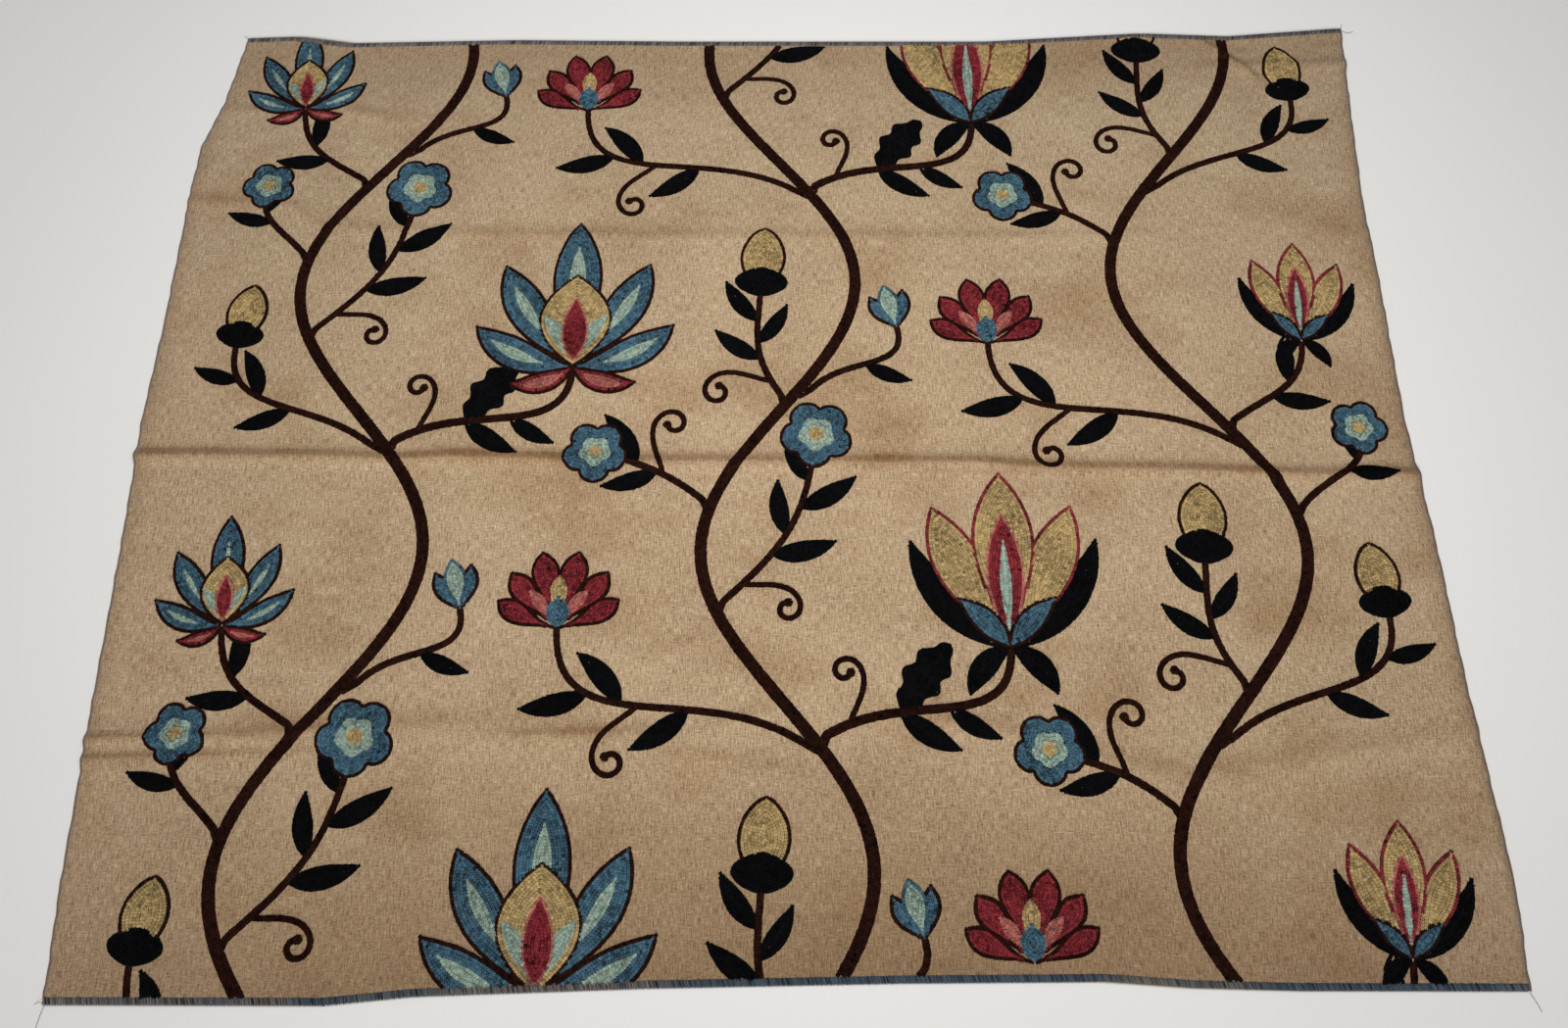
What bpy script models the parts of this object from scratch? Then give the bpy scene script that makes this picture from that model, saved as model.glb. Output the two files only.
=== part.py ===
"""Crewel embroidery panel: a full-width length of linen, overlocked along its two cut edges and
worked in wool with climbing stems, sprigs, leaves and flowers. It lies flat, face up, with the
low ridges of its old folds. Metres, +Z up, the origin under the middle of the cloth."""

import math
from collections import namedtuple

import bmesh
import bpy
import numpy as np

# Driving sizes of the cloth
LEFT_X, RIGHT_X = -0.6681, 0.6859
NEAR_Y, FAR_Y = -0.5485, 0.5485
SKEW = 0.018
CLOTH_THICK = 0.0012
COLUMNS = 26

# Overlocked edging, a thread wrap of C section round the cut edge
EDGE_LIFT = 0.0010
EDGE_LEVEL = 0.0080
EDGE_EASE = 0.0180
WRAP_THICK = 0.0007
WRAP_REACH = 0.0065

# Embroidery
GAP = 0.0003
WOOL_THICK = 0.0012
REPEAT = 0.640
STEM_SPACING = 0.460
STEM_SWAY = 0.085
STEM_WIDTH = 0.0125
STEM_CLEAR = 0.0105
CREST_Y = -0.120
MAIN_BRANCH, FINE_BRANCH = 0.0080, 0.0060
LEAF_SPREAD = 52
BRANCH_TUCK = 0.0035
SMALLEST_PIECE = 0.0004

# How far each edge wanders from its straight line: share along the edge, offset in metres
LEFT_WANDER = ((0.00, -0.003), (0.09, -0.010), (0.25, -0.017), (0.40, -0.022), (0.53, -0.029),
               (0.65, -0.028), (0.80, -0.0306), (0.86, -0.029), (0.91, -0.013), (1.00, 0.000))
RIGHT_WANDER = ((0.00, 0.004), (0.067, 0.0086), (0.11, 0.008), (0.25, 0.000), (0.40, -0.004),
                (0.52, -0.012), (0.70, -0.011), (0.77, -0.013), (0.85, -0.009), (1.00, 0.000))
NEAR_WANDER = ((0.00, -0.0026), (0.18, -0.005), (0.24, 0.002), (0.40, 0.0075), (0.57, 0.010),
               (0.71, 0.010), (0.77, 0.004), (0.84, 0.001), (1.00, -0.001))
FAR_WANDER = ((0.00, 0.003), (0.05, 0.005), (0.10, -0.006), (0.25, -0.004), (0.40, -0.009),
              (0.68, -0.014), (0.82, -0.004), (0.90, -0.010), (1.00, 0.000))

# A fold ridge: its line and its height along that line, and how far it reaches to either side
Ridge = namedtuple("Ridge", "line heights reach")
MIDDLE_FOLD = Ridge(((-0.695, -0.005), (-0.385, -0.012), (-0.100, -0.017), (0.110, -0.021),
                     (0.371, -0.031), (0.527, -0.040), (0.690, -0.046)),
                    ((-0.70, 0.0045), (0.00, 0.0040), (0.70, 0.0045)), 0.014)
NEAR_FOLD = Ridge(((-0.690, -0.301), (-0.477, -0.300), (-0.313, -0.288), (0.076, -0.276),
                   (0.211, -0.309), (0.389, -0.358), (0.690, -0.312)),
                  ((-0.70, 0.0030), (-0.35, 0.0028), (-0.18, 0.0), (0.06, 0.0), (0.20, 0.0025),
                   (0.45, 0.0025), (0.70, 0.0010)), 0.022)
FAR_FOLD = Ridge(((-0.699, 0.316), (-0.571, 0.307), (-0.532, 0.278), (-0.360, 0.265),
                  (0.239, 0.254), (0.690, 0.260)),
                 ((-0.70, 0.0018), (0.30, 0.0016), (0.47, 0.0), (0.70, 0.0)), 0.015)
CORNER_FOLD = Ridge(((-0.694, 0.445), (-0.413, 0.430), (0.000, 0.450), (0.530, 0.492), (0.690, 0.496)),
                    ((-0.70, 0.0015), (-0.45, 0.0012), (-0.35, 0.0), (0.45, 0.0), (0.60, 0.0015),
                     (0.70, 0.0015)), 0.014)
RIDGES = (NEAR_FOLD, MIDDLE_FOLD, FAR_FOLD, CORNER_FOLD)
RIDGE_STATIONS = (-1.0, -0.5, 0.0, 0.5, 1.0)
# Level rows between the ridges, where the woven edges wander most: one list after each ridge
FIRST_LEVEL_ROWS = (-0.475,)
LEVEL_ROWS = ((-0.190,), (0.100,), (0.350,), ())

# One petal of a flower, drawn as a mirrored pair unless it points straight up. Degrees and metres
Petal = namedtuple("Petal", "angle length width bend fullest")
FLOWERS = {
    "palmette": (Petal(88, 0.112, 0.036, 0.8, 0.55), Petal(44, 0.138, 0.042, 0.4, 0.60),
                 Petal(0, 0.165, 0.050, 0.0, 0.60), Petal(134, 0.068, 0.024, 1.0, 0.50),
                 Petal(0, 0.104, 0.074, 0.0, 0.50)),
    "tulip": (Petal(66, 0.138, 0.030, 0.9, 0.50), Petal(33, 0.150, 0.046, 0.25, 0.60),
              Petal(0, 0.168, 0.058, 0.0, 0.60), Petal(112, 0.060, 0.022, -0.9, 0.50),
              Petal(36, 0.066, 0.025, -0.3, 0.45)),
    "carnation": (Petal(76, 0.070, 0.025, 0.4, 0.70), Petal(46, 0.078, 0.028, 0.2, 0.72),
                  Petal(16, 0.084, 0.030, 0.1, 0.72), Petal(0, 0.034, 0.026, 0.0, 0.50)),
    "bud": (Petal(34, 0.050, 0.020, 0.4, 0.60), Petal(0, 0.056, 0.024, 0.0, 0.60)),
}
ROSE_RADIUS = 0.040

# A leaf's place: kind, share along the branch, side (-1 left, 1 right) and size
Leaf = namedtuple("Leaf", "kind share side size")
# A sprig: the side of its field that it grows from, its start on that stem, its first heading in
# degrees clockwise from +Y, where it ends and how it is headed there, its flower and its leaves
Sprig = namedtuple("Sprig", "side start heading end_x end_y end_heading flower size leaves")
FIELD_SPRIGS = (
    Sprig(-1, -0.200, 58, 0.000, -0.106, 0, "main", 1.12,
          (Leaf("lobed", 0.30, -1, 0.8), Leaf("blade", 0.30, 1, 0.9), Leaf("blade", 0.50, 1, 0.75))),
    Sprig(-1, -0.060, 48, -0.192, 0.130, 8, "rose", 1.0,
          (Leaf("blade", 0.30, 1, 0.9), Leaf("blade", 0.44, -1, 0.8), Leaf("blade", 0.62, 1, 0.9),
           Leaf("blade", 0.78, -1, 0.7))),
    Sprig(1, -0.150, -34, 0.208, -0.010, 4, "acorn", 1.0,
          (Leaf("blade", 0.35, -1, 0.8), Leaf("blade", 0.52, 1, 0.75), Leaf("blade", 0.74, -1, 0.8))),
    Sprig(1, 0.128, -58, 0.000, 0.238, 0, "carnation", 1.0,
          (Leaf("blade", 0.34, -1, 0.9), Leaf("blade", 0.56, 1, 0.9), Leaf("blade", 0.70, -1, 0.9))),
    Sprig(-1, 0.190, 42, -0.100, 0.258, -14, "bud", 1.0, (Leaf("blade", 0.45, 1, 0.7),)),
    Sprig(1, 0.372, -50, 0.030, 0.432, -70, "rose", 0.9,
          (Leaf("blade", 0.45, -1, 0.8), Leaf("blade", 0.66, 1, 0.9))),
)
LEFT_SPRIGS = (
    Sprig(1, -0.305, -58, -0.572, -0.196, -4, "palmette", 0.72,
          (Leaf("blade", 0.36, -1, 0.8), Leaf("blade", 0.58, 1, 0.8))),
    Sprig(1, 0.010, -52, -0.606, 0.130, 8, "acorn", 0.9,
          (Leaf("blade", 0.40, -1, 0.8), Leaf("blade", 0.58, 1, 0.8), Leaf("blade", 0.76, -1, 0.7))),
    Sprig(1, 0.240, -42, -0.600, 0.335, 12, "rose", 0.8,
          (Leaf("blade", 0.50, -1, 0.7), Leaf("blade", 0.66, 1, 0.7))),
)
RIGHT_SPRIGS = (
    Sprig(-1, 0.015, 55, 0.578, 0.118, 4, "tulip", 0.74,
          (Leaf("blade", 0.36, 1, 0.8), Leaf("blade", 0.58, -1, 0.8))),
    Sprig(-1, -0.310, 52, 0.616, -0.190, -6, "acorn", 0.9,
          (Leaf("blade", 0.40, 1, 0.8), Leaf("blade", 0.58, -1, 0.8), Leaf("blade", 0.76, 1, 0.7))),
    Sprig(-1, -0.080, 42, 0.622, 0.012, -10, "rose", 0.8,
          (Leaf("blade", 0.50, 1, 0.7), Leaf("blade", 0.66, -1, 0.7))),
)
# A field lies between two stems: its middle, its left stem and its main flower
Field = namedtuple("Field", "x y left_stem right_stem flower sprigs")
FIELDS = (
    Field(-0.230, 0.200, 0, 1, "palmette", FIELD_SPRIGS),
    Field(0.230, -0.120, 1, 2, "tulip", FIELD_SPRIGS),
    Field(0.0, 0.0, None, 0, None, LEFT_SPRIGS),
    Field(0.0, 0.0, 2, None, None, RIGHT_SPRIGS),
)

# Finishes: colour, roughness
FINISHES = {
    "linen": ((0.376, 0.275, 0.168), 0.90),
    "overlock": ((0.095, 0.115, 0.155), 0.85),
    "bark": ((0.024, 0.008, 0.005), 0.90),
    "palmette": ((0.048, 0.084, 0.110), 0.90),
    "tulip": ((0.381, 0.266, 0.168), 0.90),
    "carnation": ((0.161, 0.024, 0.028), 0.90),
    "rose": ((0.048, 0.084, 0.110), 0.90),
    "acorn": ((0.381, 0.266, 0.168), 0.90),
    "bud": ((0.262, 0.376, 0.328), 0.90),
}


def clear_scene():
    """Remove everything that is in the file at the start."""
    for thing in list(bpy.data.objects):
        bpy.data.objects.remove(thing, do_unlink=True)


def make_collection(name):
    """Link a new collection to the scene."""
    collection = bpy.data.collections.new(name)
    bpy.context.scene.collection.children.link(collection)
    return collection


def make_material(name):
    """A matt Principled material of one of the finishes."""
    colour, roughness = FINISHES[name]
    material = bpy.data.materials.new(name)
    material.use_nodes = True
    shader = material.node_tree.nodes["Principled BSDF"]
    shader.inputs["Base Color"].default_value = (*colour, 1.0)
    shader.inputs["Roughness"].default_value = roughness
    shader.inputs["Metallic"].default_value = 0.0
    return material


def add_object(name, bm, collection, material=None):
    """Turn a bmesh into an object with its faces pointing out."""
    bmesh.ops.recalc_face_normals(bm, faces=bm.faces)
    mesh = bpy.data.meshes.new(name)
    bm.to_mesh(mesh)
    bm.free()
    if material:
        mesh.materials.append(material)
    thing = bpy.data.objects.new(name, mesh)
    collection.objects.link(thing)
    return thing


def smooth(u):
    """Ease a share from 0 to 1."""
    u = min(max(u, 0.0), 1.0)
    return u * u * (3 - 2 * u)


def along(table, place):
    """Read a table of places and values at one place."""
    return float(np.interp(place, *zip(*table)))


def ridge_height(ridge, x, y):
    """Height of one fold ridge at a point of the cloth."""
    share = abs(y - along(ridge.line, x)) / ridge.reach
    return along(ridge.heights, x) * (1 - smooth(share))


def near_edge(x):
    """Y of the near cut edge."""
    return NEAR_Y + along(NEAR_WANDER, (x - LEFT_X) / (RIGHT_X - LEFT_X))


def far_edge(x):
    """Y of the far cut edge."""
    return FAR_Y + along(FAR_WANDER, (x - LEFT_X) / (RIGHT_X - LEFT_X))


def rows():
    """The cloth's rows from near to far: each is a function of x, and each follows an edge or a fold."""
    lines = [lambda x, inset=inset: near_edge(x) + inset for inset in (0, EDGE_LEVEL, EDGE_EASE)]
    lines += [lambda x, y=y: y for y in FIRST_LEVEL_ROWS]
    for ridge, levels in zip(RIDGES, LEVEL_ROWS):
        lines += [lambda x, r=ridge, s=s: along(r.line, x) + s * r.reach for s in RIDGE_STATIONS]
        lines += [lambda x, y=y: y for y in levels]
    lines += [lambda x, inset=inset: far_edge(x) - inset for inset in (EDGE_EASE, EDGE_LEVEL, 0)]
    return lines


def cloth_height(x, y):
    """Height of the cloth's underside, with its edges lifted over the thread that wraps them."""
    to_edge = min(y - near_edge(x), far_edge(x) - y)
    lift = EDGE_LIFT * (1 - smooth((to_edge - EDGE_LEVEL) / (EDGE_EASE - EDGE_LEVEL)))
    return max([lift] + [ridge_height(ridge, x, y) for ridge in RIDGES])


def cloth_point(column, line):
    """Where a column crosses a row, on the cloth's underside."""
    share = column / COLUMNS
    y = line(LEFT_X + share * (RIGHT_X - LEFT_X))
    up = (y - NEAR_Y) / (FAR_Y - NEAR_Y)
    x_left = LEFT_X + SKEW * y + along(LEFT_WANDER, up)
    x_right = RIGHT_X + SKEW * y + along(RIGHT_WANDER, up)
    x = x_left + share * (x_right - x_left)
    level = line in (ROWS[0], ROWS[1], ROWS[-2], ROWS[-1])
    return x, y, EDGE_LIFT if level else cloth_height(x, y)


def cloth_skin(lines):
    """An open surface over some of the rows, triangulated the same way wherever it is used."""
    bm = bmesh.new()
    bmesh.ops.create_grid(bm, x_segments=COLUMNS, y_segments=len(lines) - 1, size=1.0)
    for vert in bm.verts:
        column = round((vert.co.x + 1) / 2 * COLUMNS)
        row = round((vert.co.y + 1) / 2 * (len(lines) - 1))
        vert.co = cloth_point(column, lines[row])
    bmesh.ops.triangulate(bm, faces=bm.faces, quad_method="FIXED")
    return bm


def thicken(bm, height):
    """Close an open surface into a sheet by raising a copy of it straight up."""
    raised = bmesh.ops.extrude_face_region(bm, geom=bm.faces[:])
    verts = [item for item in raised["geom"] if isinstance(item, bmesh.types.BMVert)]
    bmesh.ops.translate(bm, verts=verts, vec=(0, 0, height))


def make_cloth(collection):
    """The ground cloth."""
    bm = cloth_skin(ROWS)
    thicken(bm, CLOTH_THICK)
    return add_object("linen_ground", bm, collection, make_material("linen"))


def make_edging(name, row, outward, collection):
    """The thread wrap along one cut edge: a C section carried from column to column."""
    slot_low = EDGE_LIFT - GAP
    slot_high = EDGE_LIFT + CLOTH_THICK + GAP
    section = ((-WRAP_REACH, 0), (GAP + WRAP_THICK, 0), (GAP + WRAP_THICK, slot_high + WRAP_THICK),
               (-WRAP_REACH, slot_high + WRAP_THICK), (-WRAP_REACH, slot_high), (GAP, slot_high),
               (GAP, slot_low), (-WRAP_REACH, slot_low))
    points = [cloth_point(column, row) for column in range(COLUMNS + 1)]
    bm = bmesh.new()
    x, y, _ = points[0]
    face = bm.faces.new([bm.verts.new((x, y + outward * out, z)) for out, z in section])
    ends = [face]
    for before, after in zip(points, points[1:]):
        rims = {edge for face in ends for edge in face.edges}
        moved = bmesh.ops.extrude_face_region(bm, geom=ends + list(rims))
        verts = [item for item in moved["geom"] if isinstance(item, bmesh.types.BMVert)]
        ends = [item for item in moved["geom"] if isinstance(item, bmesh.types.BMFace)]
        bmesh.ops.translate(bm, verts=verts, vec=(after[0] - before[0], after[1] - before[1], 0))
    return add_object(name, bm, collection, make_material("overlock"))


def blade(length, width, bend=0.0, fullest=0.45, steps=4, lobes=0.0, depth=0.0, square=0.8):
    """Outline of a leaf or petal that grows along +Y from its base and bends clockwise."""
    u = np.linspace(0.0, 1.0, steps + 1)
    heading = bend * (u[:-1] + u[1:]) / 2
    stride = np.stack([np.sin(heading), np.cos(heading)], axis=1) * length / steps
    rib = np.vstack([[0.0, 0.0], np.cumsum(stride, axis=0)])
    half = width / 2 * np.sin(np.pi * u ** (math.log(0.5) / math.log(fullest))) ** square
    half = half * (1 - depth * (0.5 + 0.5 * np.cos(2 * np.pi * lobes * u)))
    side = np.stack([np.cos(bend * u), -np.sin(bend * u)], axis=1) * half[:, None]
    return np.vstack([rib + side, (rib - side)[-2:0:-1]])


def rosette(radius, petals=5, notch=0.22, steps=4):
    """Outline of a round flower with notched petals."""
    turn = np.linspace(0.0, 2 * np.pi, petals * steps, endpoint=False)
    reach = radius * (1 - notch * (1 - np.abs(np.sin(petals * turn / 2)) ** 0.7))
    return np.stack([reach * np.sin(turn), reach * np.cos(turn)], axis=1)


def placed(outline, heading, x=0.0, y=0.0, size=1.0, mirrored=False):
    """Size an outline, mirror it, turn it clockwise to its heading and move it."""
    points = np.asarray(outline) * size
    if mirrored:
        points = points[::-1] * [-1, 1]
    c, s = math.cos(math.radians(heading)), math.sin(math.radians(heading))
    return points @ np.array([[c, -s], [s, c]]) + [x, y]


def ribbon(line, start_width, end_width):
    """Outline of a branch or stem along a line."""
    half = np.linspace(start_width, end_width, len(line)) / 2
    run = np.gradient(line, axis=0)
    run /= np.linalg.norm(run, axis=1)[:, None]
    side = np.stack([run[:, 1], -run[:, 0]], axis=1) * half[:, None]
    return np.vstack([line + side, (line - side)[::-1]])


def branch_line(start, heading, end, end_heading, steps=7, pull=0.45):
    """A branch's curve between two points with given headings."""
    start, end = np.array(start), np.array(end)
    reach = pull * np.linalg.norm(end - start)
    out = start + reach * np.array([math.sin(math.radians(heading)), math.cos(math.radians(heading))])
    back = end - reach * np.array([math.sin(math.radians(end_heading)), math.cos(math.radians(end_heading))])
    u = np.linspace(0.0, 1.0, steps + 1)[:, None]
    return (1 - u) ** 3 * start + 3 * u * (1 - u) ** 2 * out + 3 * u * u * (1 - u) * back + u ** 3 * end


def stem_x(stem, y):
    """X of a climbing stem; neighbours sway opposite ways."""
    sway = STEM_SWAY * math.cos(2 * math.pi * (y - CREST_Y) / REPEAT)
    return (stem - 1) * STEM_SPACING + (sway if stem != 1 else -sway)


def flower_outlines(name):
    """The outlines that make a flower's silhouette, growing along +Y."""
    if name == "rose":
        return [rosette(ROSE_RADIUS)]
    if name == "acorn":
        nut = blade(0.080, 0.052, fullest=0.5, steps=6, square=0.6)
        cup = blade(0.038, 0.060, fullest=0.5, square=0.6)
        return [nut, placed(cup, 0, 0.0, -0.010)]
    outlines = []
    for petal in FLOWERS[name]:
        for side in (1,) if petal.angle == 0 else (1, -1):
            shape = blade(petal.length, petal.width, -side * petal.bend, petal.fullest)
            outlines.append(placed(shape, side * petal.angle))
    return outlines


def leaf_outline(kind):
    """A plain or a lobed leaf."""
    if kind == "lobed":
        return blade(0.108, 0.060, -0.2, 0.52, steps=14, lobes=3.5, depth=0.45, square=0.6)
    return blade(0.078, 0.025, -0.45, 0.45)


def sprig_outlines(sprig, field, lift):
    """Branch, leaves and flower of one sprig."""
    stem = field.left_stem if sprig.side < 0 else field.right_stem
    y = field.y + lift + sprig.start
    slope = math.atan2(stem_x(stem, y + 0.001) - stem_x(stem, y - 0.001), 0.002)
    start = (stem_x(stem, y) - sprig.side * STEM_CLEAR * math.cos(slope),
             y + sprig.side * STEM_CLEAR * math.sin(slope))
    end = (field.x + sprig.end_x, field.y + lift + sprig.end_y)
    line = branch_line(start, sprig.heading, end, sprig.end_heading)
    width = MAIN_BRANCH if sprig.flower == "main" else FINE_BRANCH
    tip = np.array([math.sin(math.radians(sprig.end_heading)), math.cos(math.radians(sprig.end_heading))])
    outlines = [ribbon(np.vstack([line, line[-1] + BRANCH_TUCK * tip]), width * 1.25, width * 0.9)]
    for leaf in sprig.leaves:
        place = leaf.share * (len(line) - 1)
        first = int(place)
        run = line[first + 1] - line[first]
        root = line[first] + run * (place - first)
        heading = math.degrees(math.atan2(run[0], run[1])) + leaf.side * LEAF_SPREAD
        outlines.append(placed(leaf_outline(leaf.kind), heading, *root, leaf.size, leaf.side < 0))
    name = field.flower if sprig.flower == "main" else sprig.flower
    outlines += [placed(shape, sprig.end_heading, *end, sprig.size) for shape in flower_outlines(name)]
    return outlines


def make_layer(collection):
    """The layer that the wool fills: the cloth's own relief, raised just clear of it."""
    bm = cloth_skin(ROWS[1:-1])
    bmesh.ops.translate(bm, verts=bm.verts, vec=(0, 0, CLOTH_THICK + GAP))
    bmesh.ops.dissolve_limit(bm, angle_limit=0.0001, verts=bm.verts, edges=bm.edges)
    thicken(bm, WOOL_THICK)
    return as_guide(add_object("wool_layer", bm, collection))


def as_guide(thing):
    """Mark a helper that isn't part of the object."""
    thing.hide_render = True
    thing.display_type = "WIRE"
    return thing


def make_cutter(name, outlines, collection):
    """Upright prisms of the outlines, tall enough to pass through the whole layer."""
    bm = bmesh.new()
    for outline in outlines:
        face = bm.faces.new([bm.verts.new((x, y, -0.005)) for x, y in outline])
        raised = bmesh.ops.extrude_face_region(bm, geom=[face])
        verts = [item for item in raised["geom"] if isinstance(item, bmesh.types.BMVert)]
        bmesh.ops.translate(bm, verts=verts, vec=(0, 0, 0.025))
    return as_guide(add_object(name, bm, collection))


def largest_piece(bm):
    """Keep the largest connected piece of a mesh and give its plan area."""
    left = set(bm.faces)
    pieces = []
    while left:
        queue = [left.pop()]
        piece = list(queue)
        while queue:
            near = {face for edge in queue.pop().edges for face in edge.link_faces} & left
            left -= near
            queue += near
            piece += near
        area = sum(face.calc_area() * max(face.normal.z, 0.0) for face in piece)
        pieces.append((area, piece))
    pieces.sort(key=lambda entry: entry[0])
    extra = [face for _, piece in pieces[:-1] for face in piece]
    bmesh.ops.delete(bm, geom=extra, context="FACES")
    return pieces[-1][0] if pieces else 0.0


def make_wool(name, outlines, finish, layer, collection, helpers):
    """One worked motif: its outlines, filled with the wool layer."""
    cutter = make_cutter(name + "_outline", outlines, helpers)
    thing = bpy.data.objects.new(name, layer.data.copy())
    collection.objects.link(thing)
    cut = thing.modifiers.new("outline", "BOOLEAN")
    cut.operation = "INTERSECT"
    cut.object = cutter
    cut.use_self = True
    bpy.context.view_layer.update()
    bm = bmesh.new()
    bm.from_object(thing, bpy.context.evaluated_depsgraph_get())
    bpy.data.objects.remove(thing, do_unlink=True)
    bmesh.ops.remove_doubles(bm, verts=bm.verts, dist=0.00002)
    if largest_piece(bm) < SMALLEST_PIECE:
        bm.free()
        return None
    bmesh.ops.triangulate(bm, faces=bm.faces)
    return add_object(name, bm, collection, make_material(finish))


def make_stems(layer, collection, helpers):
    """The three climbing stems, from edge to edge."""
    heights = np.linspace(NEAR_Y - 0.02, FAR_Y + 0.02, 42)
    for stem in range(3):
        line = np.array([(stem_x(stem, y), y) for y in heights])
        outline = ribbon(line, STEM_WIDTH, STEM_WIDTH)
        make_wool(f"stem_{stem + 1}", [outline], "bark", layer, collection, helpers)


def make_sprigs(layer, collection, helpers):
    """Every sprig of every field, repeated up the cloth."""
    counts = {}
    for field in FIELDS:
        for sprig in field.sprigs:
            flower = field.flower if sprig.flower == "main" else sprig.flower
            for lift in (-REPEAT, 0.0, REPEAT):
                name = f"sprig_{flower}_{counts.get(flower, 0) + 1:02d}"
                outlines = sprig_outlines(sprig, field, lift)
                if make_wool(name, outlines, flower, layer, collection, helpers):
                    counts[flower] = counts.get(flower, 0) + 1


ROWS = rows()


def main():
    """Build the panel."""
    clear_scene()
    panel = make_collection("crewel_embroidery_panel")
    helpers = make_collection("helpers")
    make_cloth(panel)
    make_edging("edging_near", ROWS[0], -1, panel)
    make_edging("edging_far", ROWS[-1], 1, panel)
    layer = make_layer(helpers)
    make_stems(layer, panel, helpers)
    make_sprigs(layer, panel, helpers)


main()
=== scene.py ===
"""The looks of a crewel embroidery panel: slubby natural linen lying flat with the ridges of its old
folds, overlocked along its cut edges, and wool worked over it in rows of chain stitch. Metres."""

from __future__ import annotations

import logging
import math
from dataclasses import dataclass, field
from enum import Enum

import bmesh
import bpy
import numpy as np
from mathutils import Matrix, Vector

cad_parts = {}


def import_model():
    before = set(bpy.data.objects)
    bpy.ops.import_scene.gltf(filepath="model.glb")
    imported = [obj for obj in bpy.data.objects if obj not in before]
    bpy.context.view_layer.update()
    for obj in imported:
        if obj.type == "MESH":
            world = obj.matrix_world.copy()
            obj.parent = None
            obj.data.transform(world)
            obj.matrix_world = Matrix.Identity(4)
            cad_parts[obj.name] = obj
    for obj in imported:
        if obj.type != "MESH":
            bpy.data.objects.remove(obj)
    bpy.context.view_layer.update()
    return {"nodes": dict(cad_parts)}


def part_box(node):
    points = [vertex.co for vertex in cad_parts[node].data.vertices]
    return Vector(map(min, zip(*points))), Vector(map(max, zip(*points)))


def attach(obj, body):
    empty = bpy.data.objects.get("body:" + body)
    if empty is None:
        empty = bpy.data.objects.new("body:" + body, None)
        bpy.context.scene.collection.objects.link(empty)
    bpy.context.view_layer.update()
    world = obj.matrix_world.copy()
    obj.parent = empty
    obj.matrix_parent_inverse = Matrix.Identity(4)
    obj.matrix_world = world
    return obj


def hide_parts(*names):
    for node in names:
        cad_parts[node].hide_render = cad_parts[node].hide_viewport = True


LOG = logging.getLogger("crewel_panel")


class Yarn(Enum):
    """The wools, each with its sRGB colour."""

    BARK = (40, 18, 12)
    INK = (9, 10, 12)
    BLUE = (70, 101, 118)
    AQUA = (146, 166, 152)
    CRIMSON = (126, 44, 50)
    ROSE = (166, 98, 90)
    GOLD = (176, 151, 104)


def linear(colour: tuple[int, int, int]) -> tuple[float, float, float, float]:
    """Turn an sRGB colour into Blender's linear colour.

    Args:
        colour: Red, green and blue from 0 to 255.

    Returns:
        Linear red, green and blue, and an alpha of 1.
    """
    shares = [value / 255 for value in colour]
    bright = [s / 12.92 if s <= 0.04045 else ((s + 0.055) / 1.055) ** 2.4 for s in shares]
    return (*bright, 1.0)


def ease(share: np.ndarray) -> np.ndarray:
    """Ease shares from 0 to 1."""
    share = np.clip(share, 0.0, 1.0)
    return share * share * (3 - 2 * share)


def along(table: tuple[tuple[float, float], ...], place: np.ndarray) -> np.ndarray:
    """Read a table of places and values at many places."""
    places, values = zip(*table)
    return np.interp(place, places, values)


@dataclass(frozen=True)
class Ridge:
    """A fold ridge: its line, its height along that line, and how far it reaches to either side."""

    line: tuple[tuple[float, float], ...]
    heights: tuple[tuple[float, float], ...]
    reach: float
    blunt: float = 0.10

    def height(self, x: np.ndarray, y: np.ndarray) -> np.ndarray:
        """Height of the ridge at points of the cloth."""
        share = np.hypot((y - along(self.line, x)) / self.reach, self.blunt) - self.blunt
        crest = 0.35 * (1 - ease(share)) + 0.65 * np.clip(1 - share, 0.0, 1.0) ** 2.0
        return along(self.heights, x) * crest


@dataclass(frozen=True)
class Crease:
    """A short soft crease between two points."""

    start: tuple[float, float]
    end: tuple[float, float]
    height: float
    reach: float

    def lift(self, x: np.ndarray, y: np.ndarray) -> np.ndarray:
        """Height of the crease at points of the cloth, fading towards its ends."""
        run = np.subtract(self.end, self.start)
        share = ((x - self.start[0]) * run[0] + (y - self.start[1]) * run[1]) / (run @ run)
        near = np.clip(share, 0.0, 1.0)
        away = np.hypot(x - self.start[0] - near * run[0], y - self.start[1] - near * run[1])
        fade = np.clip(4 * near * (1 - near), 0.0, 1.0) ** 0.7
        return self.height * fade * (1 - ease(away / self.reach))


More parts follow.
